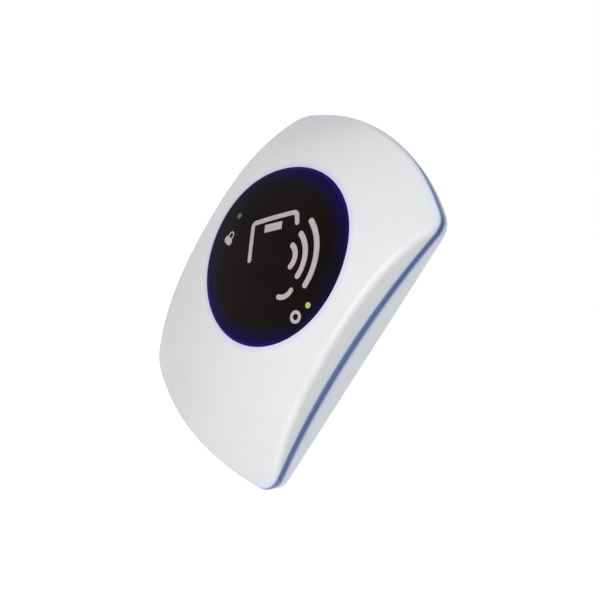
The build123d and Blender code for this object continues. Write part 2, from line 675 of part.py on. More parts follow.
def lock_screw():
    """Headless security screw, shown backed out flush with the bottom edge."""
    body = lock_cylinder(LOCK_RADIUS, LOCK_RECESS, LOCK_RECESS + LOCK_LENGTH)
    body = chamfer(body.edges().sort_by(Axis.Y)[-1], LOCK_RADIUS / 3)
    start = BOTTOM_Y + LOCK_RECESS
    socket_plane = Plane(origin=(0, start, LOCK_DEPTH), x_dir=(1, 0, 0), z_dir=(0, 1, 0))
    hexagon = RegularPolygon(LOCK_SOCKET_RADIUS, 6)
    return body - extrude(socket_plane * hexagon, amount=LOCK_SOCKET_DEPTH)


def stand_up(piece):
    """Turn a piece from lying on its back to hanging on the wall."""
    return Rot(90, 0, 0) * piece


def pieces():
    """Every piece of the reader by node name."""
    made = {
        "rear_base": rear_base(),
        "cable_grommet": cable_grommet(),
        "tamper_cage": tamper_cage(),
        "tamper_spring": tamper_spring(),
        "tamper_pin": tamper_pin(),
        "front_cover": front_cover(),
        "seam_light_guide": seam_light_guide(),
        "halo_ring": halo_ring(),
        "lens_tape": lens_tape(),
        "lens_disc": lens_disc(),
        "circuit_board": circuit_board(),
        "board_screws": board_screws(),
        "coil_bobbin": coil_bobbin(),
        "antenna_coil": antenna_coil(),
        "buzzer": buzzer(),
        "filter_capacitor": filter_capacitor(),
        "controller_chip": back_part(CONTROLLER),
        "reader_chip": back_part(READER_CHIP),
        "crystal": back_part(CRYSTAL, CRYSTAL[2] / 2 - SEAT),
        "voltage_regulator": back_part(REGULATOR),
        "power_inductor": back_part(INDUCTOR, INDUCTOR_CORNER),
        "wire_connector": wire_connector(),
        "connector_pins": connector_pins(),
        "tamper_switch": tamper_switch(),
        "lock_insert": lock_insert(),
        "lock_screw": lock_screw(),
    }
    for side in PIPE_PLACES:
        made[f"status_led_{side}"] = status_led(side)
        made[f"light_pipe_{side}"] = light_pipe(side)
    for number, (x, y) in enumerate(seam_led_places(), start=1):
        made[f"seam_led_{number}"] = seam_led(x, y)
    return made


os.makedirs("parts", exist_ok=True)
for node, piece in pieces().items():
    export_step(stand_up(piece), f"parts/{node}.step")
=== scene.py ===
"""Looks, lights and camera for a wall-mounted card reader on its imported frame.

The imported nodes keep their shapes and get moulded, printed, plated and wound finishes. New
pieces add the window's print, the thread and drive of the lock screw, the plunger's spring, the
solder, tracks and small components of the circuit board, and the turns of the antenna winding.
"""

from __future__ import annotations

import logging
import math
from dataclasses import dataclass, field
from enum import Enum
from typing import Sequence

import bmesh
import bpy
from mathutils import Matrix, Quaternion, Vector
from mathutils.bvhtree import BVHTree

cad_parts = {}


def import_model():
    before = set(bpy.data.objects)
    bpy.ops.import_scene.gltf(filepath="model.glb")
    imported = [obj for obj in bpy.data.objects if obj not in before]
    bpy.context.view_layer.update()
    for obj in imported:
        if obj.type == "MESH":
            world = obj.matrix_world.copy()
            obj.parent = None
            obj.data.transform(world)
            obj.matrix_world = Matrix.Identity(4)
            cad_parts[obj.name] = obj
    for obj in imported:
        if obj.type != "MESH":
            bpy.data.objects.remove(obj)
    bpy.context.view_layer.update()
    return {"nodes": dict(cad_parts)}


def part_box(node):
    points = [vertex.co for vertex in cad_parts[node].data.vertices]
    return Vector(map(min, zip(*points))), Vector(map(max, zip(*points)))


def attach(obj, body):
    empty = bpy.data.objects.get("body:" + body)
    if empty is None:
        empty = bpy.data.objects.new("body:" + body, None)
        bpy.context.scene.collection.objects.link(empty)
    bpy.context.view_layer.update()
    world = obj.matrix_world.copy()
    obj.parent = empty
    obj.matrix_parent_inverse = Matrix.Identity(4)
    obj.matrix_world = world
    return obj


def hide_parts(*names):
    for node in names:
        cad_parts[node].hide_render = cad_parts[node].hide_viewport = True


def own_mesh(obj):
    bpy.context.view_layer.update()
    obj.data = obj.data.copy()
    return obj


LOG = logging.getLogger("card_reader")

Triple = tuple[float, float, float]
Colour = Triple
Point = tuple[float, float]
Socket = bpy.types.NodeSocket
Nodes = dict[str, bpy.types.Object]
MM = 0.001


class Wire:
    """Output socket of a shader node, with arithmetic that adds Math nodes."""

    def __init__(self, graph: Graph, socket: Socket) -> None:
        """Keep the socket and the graph it belongs to."""
        self.graph = graph
        self.socket = socket

    def __add__(self, other: Wire | float) -> Wire:
        """Sum."""
        return self.graph.maths("ADD", self, other)

    __radd__ = __add__

    def __mul__(self, other: Wire | float) -> Wire:
        """Product."""
        return self.graph.maths("MULTIPLY", self, other)

    __rmul__ = __mul__

    def __sub__(self, other: Wire | float) -> Wire:
        """Difference."""
        return self.graph.maths("SUBTRACT", self, other)

    def __rsub__(self, other: float) -> Wire:
        """Difference from a number."""
        return self.graph.maths("SUBTRACT", other, self)

    def __truediv__(self, other: Wire | float) -> Wire:
        """Quotient."""
        return self.graph.maths("DIVIDE", self, other)

    def __abs__(self) -> Wire:
        """Size without sign."""
        return self.graph.maths("ABSOLUTE", self)

    def root(self) -> Wire:
        """Square root."""
        return self.graph.maths("SQRT", self)

    def sine(self) -> Wire:
        """Sine of an angle in radians."""
        return self.graph.maths("SINE", self)

    def above(self, limit: float) -> Wire:
        """One where the value is over the limit, nought elsewhere."""
        return self.graph.maths("GREATER_THAN", self, limit)

    def larger(self, other: Wire | float) -> Wire:
        """Larger of two values."""
        return self.graph.maths("MAXIMUM", self, other)

    def smaller(self, other: Wire | float) -> Wire:
        """Smaller of two values."""
        return self.graph.maths("MINIMUM", self, other)

    def ease(self, start: float, end: float) -> Wire:
        """Smooth step from nought at the start to one at the end."""
        inputs = {"Value": self, "From Min": start, "From Max": end}
        return self.graph.add("ShaderNodeMapRange", {"interpolation_type": "SMOOTHSTEP"}, inputs)


class Tree:
    """Node tree under construction."""

    def __init__(self, tree: bpy.types.NodeTree) -> None:
        """Empty the tree and keep it."""
        self.tree = tree
        tree.nodes.clear()

    def node(
        self,
        kind: str,
        settings: dict[str, object] | None = None,
        inputs: dict[str | int, object] | None = None,
    ) -> bpy.types.Node:
        """Add a node.

        Args:
            kind: Node type.
            settings: Properties to set first.
            inputs: Values, sockets or wires for the node's inputs, by name or number.

        Returns:
            The new node.
        """
        made = self.tree.nodes.new(kind)
        for name, value in (settings or {}).items():
            setattr(made, name, value)
        for key, value in (inputs or {}).items():
            source = value.socket if isinstance(value, Wire) else value
            if isinstance(source, Socket):
                self.tree.links.new(source, made.inputs[key])
            else:
                made.inputs[key].default_value = source
        return made


@dataclass(frozen=True)
class Noise:
    """Noise pattern: waves per metre, octaves, strength of the finer ones, and any stretch."""

    scale: float
    octaves: float = 3.0
    rough: float = 0.5
    stretch: Triple | None = None


class Graph(Tree):
    """Nodes of a material or a world under construction."""

    def __init__(self, name: str, world: bool = False) -> None:
        """Start with nothing but the output node.

        Args:
            name: Name of the material or world.
            world: Whether it is a world.
        """
        self.owner = (bpy.data.worlds if world else bpy.data.materials).new(name)
        self.owner.use_nodes = True
        super().__init__(self.owner.node_tree)
        self.output = self.node("ShaderNodeOutputWorld" if world else "ShaderNodeOutputMaterial")

    def add(
        self,
        kind: str,
        settings: dict[str, object] | None = None,
        inputs: dict[str | int, object] | None = None,
        output: str | int = 0,
    ) -> Wire:
        """Add a node and give back the wire from the named output."""
        return Wire(self, self.node(kind, settings, inputs).outputs[output])

    def maths(self, operation: str, *values: Wire | float) -> Wire:
        """Work out a value with a Math node."""
        return self.add("ShaderNodeMath", {"operation": operation}, dict(enumerate(values)))

    def place(self) -> Wire:
        """Position on the piece, in metres."""
        return self.add("ShaderNodeTexCoord", output="Object")

    def axes(self) -> tuple[Wire, ...]:
        """Position on the piece as three separate values."""
        made = self.node("ShaderNodeSeparateXYZ", None, {0: self.place()})
        return tuple(Wire(self, socket) for socket in made.outputs)

    def seen(self) -> Wire:
        """Tell rays from the camera, mirrors and glass from the others.

        Returns:
            One on those rays, nought on the others.
        """
        rays = self.node("ShaderNodeLightPath").outputs
        camera, glossy, glass = (
            Wire(self, rays[f"Is {kind} Ray"]) for kind in ("Camera", "Glossy", "Transmission")
        )
        return camera.larger(glossy).larger(glass)

    def noise(self, pattern: Noise) -> Wire:
        """Noise from nought to one.

        Args:
            pattern: Its scale and character.

        Returns:
            The noise value.
        """
        place = self.place()
        if pattern.stretch:
            place = self.add("ShaderNodeMapping", None, {"Vector": place, "Scale": pattern.stretch})
        inputs = {"Vector": place, "Scale": pattern.scale}
        inputs |= {"Detail": pattern.octaves, "Roughness": pattern.rough}
        return self.add("ShaderNodeTexNoise", None, inputs)

    def blend(self, amount: Wire | float, first: Wire | Colour, second: Wire | Colour) -> Wire:
        """Mix two colours.

        Args:
            amount: Share of the second colour.
            first: Colour at nought.
            second: Colour at one.

        Returns:
            The mixed colour.
        """
        ends = [value if isinstance(value, Wire) else (*value, 1.0) for value in (first, second)]
        inputs = {0: amount, 6: ends[0], 7: ends[1]}
        return self.add("ShaderNodeMix", {"data_type": "RGBA"}, inputs, 2)

    def darken(self, patches: Wire, start: float, end: float, colour: Colour, share: float) -> Wire:
        """Colour that goes to a darker share of itself in patches, from start to end."""
        dark = tuple(channel * share for channel in colour)
        return self.blend(patches.ease(start, end), colour, dark)

    def bump(self, height: Wire, distance: float, strength: float = 1.0) -> Wire:
        """Normal bent by a relief that stands a distance high, in metres."""
        inputs = {"Height": height, "Distance": distance, "Strength": strength}
        return self.add("ShaderNodeBump", None, inputs)

    def finish(self, shader: Wire) -> bpy.types.Material | bpy.types.World:
        """Wire a shader to the output and give back the material or world."""
        self.tree.links.new(shader.socket, self.output.inputs["Surface"])
        return self.owner

    def surface(self, **sockets: object) -> bpy.types.Material:
        """Finish the material with a Principled shader, its sockets named with underscores."""
        inputs = {name.replace("_", " "): value for name, value in sockets.items()}
        return self.finish(self.add("ShaderNodeBsdfPrincipled", None, inputs))


@dataclass(frozen=True)
class Form:
    """Sizes of the housing that the finishes and the print follow, in metres."""

    window_z: float = 11.5 * MM
    window_radius: float = 27.9 * MM
    halo_radius: float = 28.9 * MM
    seam_end: float = 3.2 * MM
    seam_crest: float = 8.9 * MM
    seam_reach: float = 48.5 * MM

    def from_window(self, graph: Graph) -> Wire:
        """Distance from the window's axis.

        Args:
            graph: The material that reads it.

        Returns:
            The distance in metres.
        """
        x, _, z = graph.axes()
        up = z - self.window_z
        return (x * x + up * up).root()

    def from_seam(self, graph: Graph) -> Wire:
        """Distance from the arched parting line, measured square to the wall.

        Args:
            graph: The material that reads it.

        Returns:
            The distance in metres.
        """
        _, y, z = graph.axes()
        along = abs(z / self.seam_reach).smaller(1.0)
        seam = self.seam_crest - along * along * (self.seam_crest - self.seam_end)
        return abs(y + seam)


FORM = Form()


@dataclass(frozen=True)
class Moulding:
    """Injection-moulded plastic with faint flow marks, fine texture and handling wear."""

    name: str
    colour: Colour
    roughness: float = 0.35
    texture: float = 1.2e-5
    grain: float = 2600.0
    variation: float = 0.04
    coat: float = 0.0
    flow: Noise = Noise(45)
    wear: Noise = Noise(120, 4)
    wear_depth: float = 0.08

    def make(self) -> bpy.types.Material:
        """Build the material.

        Returns:
            The finished material.
        """
        graph = Graph(self.name)
        flow = graph.noise(self.flow)
        return graph.surface(
            Base_Color=graph.darken(flow, 0.35, 0.7, self.colour, 1 - self.variation),
            Roughness=self.roughness + (graph.noise(self.wear) - 0.5) * self.wear_depth,
            Normal=graph.bump(graph.noise(Noise(self.grain)), self.texture),
            Coat_Weight=self.coat,
            Coat_Roughness=0.06,
        )


@dataclass(frozen=True)
class HousingPlastic:
    """White moulding with painted light: blue by the light guide and lilac round the window.

    The painted blue light and the painted dark blue shade along the parting line fade between
    a start and an end away from it, and neither reaches the face on the wall.
    """

    name: str
    colour: Colour = (0.80, 0.80, 0.81)
    # painted blue light from the light guide, laid on the white plastic beside the parting line
    painted_guide_light: Colour = (0.60, 0.73, 1.0)
    painted_guide_light_share: float = 0.95
    painted_guide_light_start: float = 0.2 * MM
    painted_guide_light_end: float = 3.5 * MM
    # painted dark blue shade along the parting line
    shade: Colour = (0.13, 0.18, 0.30)
    shade_start: float = 0.75 * MM
    shade_end: float = 1.75 * MM
    # painted lilac light round the window
    painted_window_light: Colour = (0.62, 0.58, 0.92)
    painted_window_light_end: float = 2.2 * MM
    painted_window_light_share: float = 0.55
    wall_margin: float = 0.4 * MM
    roughness: float = 0.24
    variation: float = 0.025
    wear_depth: float = 0.02
    flow: Noise = Noise(30)
    wear: Noise = Noise(160, 2)
    fine: Noise = Noise(2600, 2)
    broad: Noise = Noise(420, 2)
    broad_share: float = 0.04
    relief: float = 3e-6

    def make(self) -> bpy.types.Material:
        """Build the material.

        Returns:
            The finished material.
        """
        graph = Graph(self.name)
        flow = graph.noise(self.flow)
        colour = graph.darken(flow, 0.4, 0.65, self.colour, 1 - self.variation)
        _, y, _ = graph.axes()
        off_wall = 1 - y.ease(-self.wall_margin, 0.0)
        away = FORM.from_seam(graph)
        # paint the light guide's blue light onto the plastic beside the parting line
        painted_guide_light = (1 - away.ease(self.painted_guide_light_start, self.painted_guide_light_end)) * off_wall * self.painted_guide_light_share
        colour = graph.blend(painted_guide_light, colour, self.painted_guide_light)
        # paint a dark blue shade along the parting line
        shade = (1 - away.ease(self.shade_start, self.shade_end)) * off_wall
        colour = graph.blend(shade, colour, self.shade)
        # paint lilac light round the window onto the cover
        outside = FORM.from_window(graph) - FORM.halo_radius
        painted_window_light_amount = (1 - outside.ease(0.0, self.painted_window_light_end)) * self.painted_window_light_share
        colour = graph.blend(painted_window_light_amount, colour, self.painted_window_light)
        fine = graph.noise(self.fine) * (1 - self.broad_share)
        height = fine + graph.noise(self.broad) * self.broad_share
        return graph.surface(
            Base_Color=colour,
            Roughness=self.roughness + graph.noise(self.wear) * self.wear_depth,
            Specular_IOR_Level=0.15,
            Normal=graph.bump(height, self.relief, 0.5),
            Coat_Weight=0.04,
            Coat_Roughness=0.12,
        )


@dataclass(frozen=True)
class GuidePlastic:
    """Blue light guide, deep in its core and paler where its light leaves it."""

    name: str
    core: Colour = (0.020, 0.060, 0.235)
    lit: Colour = (0.065, 0.150, 0.430)
    glow: float = 0.06
    streaks: Noise = Noise(140, stretch=(1.0, 4.0, 0.25))
    wear: Noise = Noise(400, 2)
    grain: Noise = Noise(1800, 2)

    def make(self) -> bpy.types.Material:
        """Build the material.

        Returns:
            The finished material.
        """
        graph = Graph(self.name)
        colour = graph.blend(graph.noise(self.streaks).ease(0.3, 0.75), self.core, self.lit)
        return graph.surface(
            Base_Color=colour,
            Roughness=0.22 + graph.noise(self.wear) * 0.08,
            Normal=graph.bump(graph.noise(self.grain), 8e-6),
            Emission_Color=colour,
            Emission_Strength=self.glow,
            Coat_Weight=0.5,
            Coat_Roughness=0.08,
        )


@dataclass(frozen=True)
class HaloPlastic:
    """Navy ring round the window, lit most at its top and bottom."""

    name: str
    side: Colour = (0.006, 0.004, 0.030)
    end: Colour = (0.010, 0.004, 0.120)
    wear: Noise = Noise(700, 2)
    grain: Noise = Noise(1500, 2)

    def make(self) -> bpy.types.Material:
        """Build the material.

        Returns:
            The finished material.
        """
        graph = Graph(self.name)
        _, _, z = graph.axes()
        share = abs(z - FORM.window_z) / FORM.window_radius
        return graph.surface(
            Base_Color=graph.blend(share.ease(0.35, 1.0), self.side, self.end),
            Roughness=0.26 + graph.noise(self.wear) * 0.06,
            Normal=graph.bump(graph.noise(self.grain), 6e-6),
            Specular_IOR_Level=0.06,
        )


@dataclass(frozen=True)
class WindowGloss:
    """Black gloss window, brown-black in the middle, with painted navy light towards its rim."""

    name: str
    middle: Colour = (0.0070, 0.0048, 0.0040)
    # painted navy light at the rim's sides and, stronger, at its top and bottom
    painted_rim_light_side: Colour = (0.0060, 0.0045, 0.0200)
    painted_rim_light_end: Colour = (0.0065, 0.0030, 0.0560)
    mottle: Noise = Noise(90)
    wear: Noise = Noise(300, 4)
    grain: Noise = Noise(500, 2)

    def make(self) -> bpy.types.Material:
        """Build the material.

        Returns:
            The finished material.
        """
        graph = Graph(self.name)
        _, _, z = graph.axes()
        share = abs(z - FORM.window_z) / FORM.window_radius
        # painted navy light towards the rim, strongest at the window's top and bottom
        rim = graph.blend(share.ease(0.4, 1.0), self.painted_rim_light_side, self.painted_rim_light_end)
        out = FORM.from_window(graph) / FORM.window_radius
        middle = graph.darken(graph.noise(self.mottle), 0.4, 0.7, self.middle, 0.75)
        return graph.surface(
            Base_Color=graph.blend(out.ease(0.80, 1.0), middle, rim),
            Roughness=0.22 + graph.noise(self.wear) * 0.05,
            Normal=graph.bump(graph.noise(self.grain), 4e-6),
            Specular_IOR_Level=0.03,
        )


@dataclass(frozen=True)
class Ink:
    """Screen-printed ink with a slightly uneven film."""

    name: str
    colour: Colour
    glow: float = 0.0
    film: Noise = Noise(1400)

    def make(self) -> bpy.types.Material:
        """Build the material.

        Returns:
            The finished material.
        """
        graph = Graph(self.name)
        film = graph.noise(self.film)
        colour = graph.darken(film, 0.35, 0.7, self.colour, 0.86)
        return graph.surface(
            Base_Color=colour,
            Roughness=0.5 + film * 0.1,
            Normal=graph.bump(film, 4e-6),
            Emission_Color=colour,
            Emission_Strength=self.glow,
        )


@dataclass(frozen=True)
class Metal:
    """Plated, drawn or cast metal with brushed or mottled relief."""

    name: str
    colour: Colour
    roughness: float = 0.3
    stretch: Triple | None = None
    relief: float = 6e-6
    tarnish: Colour | None = None
    lines: float = 2200.0
    patches: Noise = Noise(350, 4)

    def make(self) -> bpy.types.Material:
        """Build the material.

        Returns:
            The finished material.
        """
        graph = Graph(self.name)
        patches = graph.noise(self.patches)
        dull = self.tarnish or tuple(channel * 0.8 for channel in self.colour)
        lines = graph.noise(Noise(self.lines, stretch=self.stretch))
        return graph.surface(
            Base_Color=graph.blend(patches.ease(0.45, 0.75), self.colour, dull),
            Metallic=1.0,
            Roughness=self.roughness + patches * 0.15,
            Normal=graph.bump(lines, self.relief),
        )


@dataclass(frozen=True)
class Laminate:
    """Solder mask over woven glass, with the weave showing faintly through."""

    name: str
    mask: Colour = (0.012, 0.150, 0.055)
    pale: Colour = (0.020, 0.200, 0.080)
    edge: Colour = (0.42, 0.36, 0.18)
    thread: float = 5200.0
    skin: float = 0.03 * MM

    def make(self) -> bpy.types.Material:
        """Build the material.

        Returns:
            The finished material.
        """
        graph = Graph(self.name)
        x, y, z = graph.axes()
        weave = (x * self.thread).sine() * (z * self.thread).sine() * 0.5 + 0.5
        colour = graph.blend(weave * 0.5, self.mask, self.pale)
        low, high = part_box("circuit_board")
        core = (high.y - low.y) / 2 - self.skin
        bare = 1 - abs(y - (low.y + high.y) / 2).above(core)
        return graph.surface(
            Base_Color=graph.blend(bare, colour, self.edge),
            Roughness=0.38 + bare * 0.3,
            Normal=graph.bump(weave, 5e-6),
            Coat_Weight=0.2,
            Coat_Roughness=0.2,
        )


@dataclass(frozen=True)
class Rubber:
    """Soft black rubber with a bloom of dust."""

    name: str
    colour: Colour = (0.022, 0.022, 0.024)
    bloom: Colour = (0.060, 0.060, 0.062)
    dust: Noise = Noise(500, 5, 0.65)
    grain: Noise = Noise(1900)

    def make(self) -> bpy.types.Material:
        """Build the material.

        Returns:
            The finished material.
        """
        graph = Graph(self.name)
        dust = graph.noise(self.dust)
        return graph.surface(
            Base_Color=graph.blend(dust.ease(0.45, 0.8) * 0.6, self.colour, self.bloom),
            Roughness=0.62 + dust * 0.2,
            Normal=graph.bump(graph.noise(self.grain), 1.6e-5),
            Sheen_Weight=0.15,
        )


@dataclass(frozen=True)
class ClearPlastic:
    """Frosted clear acrylic."""

    name: str
    colour: Colour = (0.78, 0.84, 0.88)
    frosted: Colour = (0.70, 0.76, 0.82)
    frost: Noise = Noise(1300)

    def make(self) -> bpy.types.Material:
        """Build the material.

        Returns:
            The finished material.
        """
        graph = Graph(self.name)
        frost = graph.noise(self.frost)
        return graph.surface(
            Base_Color=graph.blend(frost.ease(0.3, 0.8), self.colour, self.frosted),
            Roughness=0.18 + frost * 0.1,
            Normal=graph.bump(frost, 6e-6),
            Transmission_Weight=0.6,
            IOR=1.49,
        )


@dataclass(frozen=True)
class CapacitorCan:
    """Drawn aluminium can with a pressed vent cross and a dark polarity patch, on a black foot."""

    name: str
    centre_x: float = 20.0 * MM
    centre_z: float = -20.0 * MM
    foot_y: float = -10.42 * MM
    patch_x: float = 1.5 * MM
    metal: Colour = (0.52, 0.53, 0.55)
    dark: Colour = (0.022, 0.022, 0.024)
    mottle: Noise = Noise(500)
    groove: float = 6e-5
    groove_floor: float = 0.05 * MM
    groove_edge: float = 0.22 * MM

    def make(self) -> bpy.types.Material:
        """Build the material.

        Returns:
            The finished material.
        """
        graph = Graph(self.name)
        x, y, z = graph.axes()
        across, up = x - self.centre_x, z - self.centre_z
        foot = y.above(self.foot_y)
        dark = foot.larger(across.above(self.patch_x) * (1 - foot))
        mottle = graph.noise(self.mottle)
        metal = graph.darken(mottle, 0.4, 0.7, self.metal, 0.88)
        cross = abs(across).smaller(abs(up)).ease(self.groove_floor, self.groove_edge)
        return graph.surface(
            Base_Color=graph.blend(dark, metal, self.dark),
            Metallic=1 - dark,
            Roughness=0.34 + foot * 0.15 + mottle * 0.06,
            Normal=graph.bump(cross, self.groove),
        )


class Finish(Enum):
    """Every finish on the reader."""

    COVER = HousingPlastic("cover_white_plastic")
    BASE = HousingPlastic(
        "base_white_plastic",
        colour=(0.84, 0.86, 0.90),
        painted_guide_light_end=4.8 * MM,
        shade_start=1.0 * MM,
        shade_end=2.6 * MM,
        painted_window_light_share=0.0,
        roughness=0.34,
    )
    GUIDE = GuidePlastic("light_guide_blue")
    HALO = HaloPlastic("halo_navy")
    WINDOW = WindowGloss("window_black_gloss")
    TAPE = Moulding("adhesive_film", (0.72, 0.72, 0.68), 0.55, 1e-5, 900)
    PRINT = Ink("window_print_ink", (0.50, 0.44, 0.45))
    SILK = Ink("board_print_ink", (0.72, 0.72, 0.68))
    LAMP_ON = Ink("status_lamp_khaki", (0.42, 0.40, 0.12), 0.15)
    LAMP_OFF = Ink("status_lamp_grey_green", (0.070, 0.110, 0.095), 0.05)
    BOARD = Laminate("board_solder_mask")
    TRACK = Moulding("covered_copper_track", (0.035, 0.290, 0.120), 0.36, 4e-6, 1500, 0.08, 0.2)
    PAD = Metal("tinned_pad", (0.60, 0.60, 0.58), 0.36)
    SOLDER = Metal("solder", (0.55, 0.55, 0.55), 0.26, relief=1.2e-5)
    CHIP = Moulding("chip_black_epoxy", (0.018, 0.018, 0.019), 0.55, 1e-5, 2400, 0.15)
    RESISTOR = Moulding("resistor_black", (0.020, 0.020, 0.024), 0.4, 8e-6, 2500, 0.2)
    CERAMIC = Moulding("capacitor_ceramic", (0.34, 0.22, 0.13), 0.45, 8e-6, 2500, 0.12)
    BLACK = Moulding("black_moulding", (0.020, 0.020, 0.021), 0.42, 1.4e-5, 1900, 0.1)
    GREY = Moulding("grey_bobbin_moulding", (0.26, 0.27, 0.29), 0.42, 1.4e-5, 1900, 0.06)
    NYLON = Moulding("natural_nylon", (0.76, 0.72, 0.60), 0.4, 1.2e-5, 1500, 0.05)
    SWITCH = Moulding("switch_black", (0.030, 0.030, 0.034), 0.45, 1.4e-5, 1900, 0.1)
    LED_BODY = Moulding("led_white_body", (0.78, 0.75, 0.60), 0.35, 6e-6, 2500, 0.06)
    CLEAR = ClearPlastic("clear_light_pipe")
    WINDING = Metal("enamelled_copper", (0.62, 0.26, 0.10), 0.25, tarnish=(0.45, 0.16, 0.06))
    CAPACITOR = CapacitorCan("capacitor_drawn_can")
    CAN = Metal("crystal_can", (0.52, 0.53, 0.55), 0.36, (1.0, 5.0, 1.0))
    STEEL = Metal("plated_steel", (0.48, 0.49, 0.51), 0.32, (1.0, 6.0, 1.0))
    SPRING = Metal("spring_wire", (0.55, 0.56, 0.58), 0.25)
    BRASS = Metal("brass_insert", (0.75, 0.56, 0.26), 0.28, tarnish=(0.55, 0.38, 0.16))
    RUBBER = Rubber("grommet_rubber_black")


Finishes = tuple[tuple[Finish, tuple[str, ...]], ...]
MADE: dict[Finish, bpy.types.Material] = {}


def material(finish: Finish) -> bpy.types.Material:
    """Material of a finish, built once.

    Args:
        finish: The finish wanted.

    Returns:
        Its material.
    """
    if finish not in MADE:
        MADE[finish] = finish.value.make()
    return MADE[finish]


class Body(Enum):
    """Bodies that the pieces ride on."""

    BASE = "wall_base"
    FRONT = "front_unit"
    LOCK = "security_screw"


@dataclass
class Piece:
    """Mesh piece in the frame's place."""

    name: str
    body: Body
    finish: Finish
    slot: str

    def place(self, mesh: bpy.types.Mesh, replaces: Sequence[str] = ()) -> bpy.types.Object:
        """Put the mesh in the scene on its body.

        Args:
            mesh: Finished mesh in the frame's place.
            replaces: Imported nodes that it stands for.

        Returns:
            The new object.
        """
        if not mesh.materials:
            mesh.materials.append(material(self.finish))
        made = bpy.data.objects.new(self.name, mesh)
        bpy.context.scene.collection.objects.link(made)
        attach(made, self.body.value)
        if replaces:
            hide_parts(*replaces)
        LOG.info("%s: %d faces on %s", self.name, len(mesh.polygons), self.body.value)
        return made


def mesh_from(name: str, form: bmesh.types.BMesh, smooth: float | None = 40.0) -> bpy.types.Mesh:
    """Turn a bmesh into a mesh with outward faces.

    Args:
        name: Name of the mesh.
        form: The bmesh, which is freed.
        smooth: Edge angle in degrees under which faces shade smooth, none for flat shading.

    Returns:
        The mesh.
    """
    bmesh.ops.remove_doubles(form, verts=form.verts, dist=1e-7)
    bmesh.ops.recalc_face_normals(form, faces=form.faces)
    if smooth is not None:
        for face in form.faces:
            face.smooth = True
        for edge in form.edges:
            if len(edge.link_faces) == 2 and edge.calc_face_angle() > math.radians(smooth):
                edge.smooth = False
    mesh = bpy.data.meshes.new(name)
    form.to_mesh(mesh)
    form.free()
    return mesh


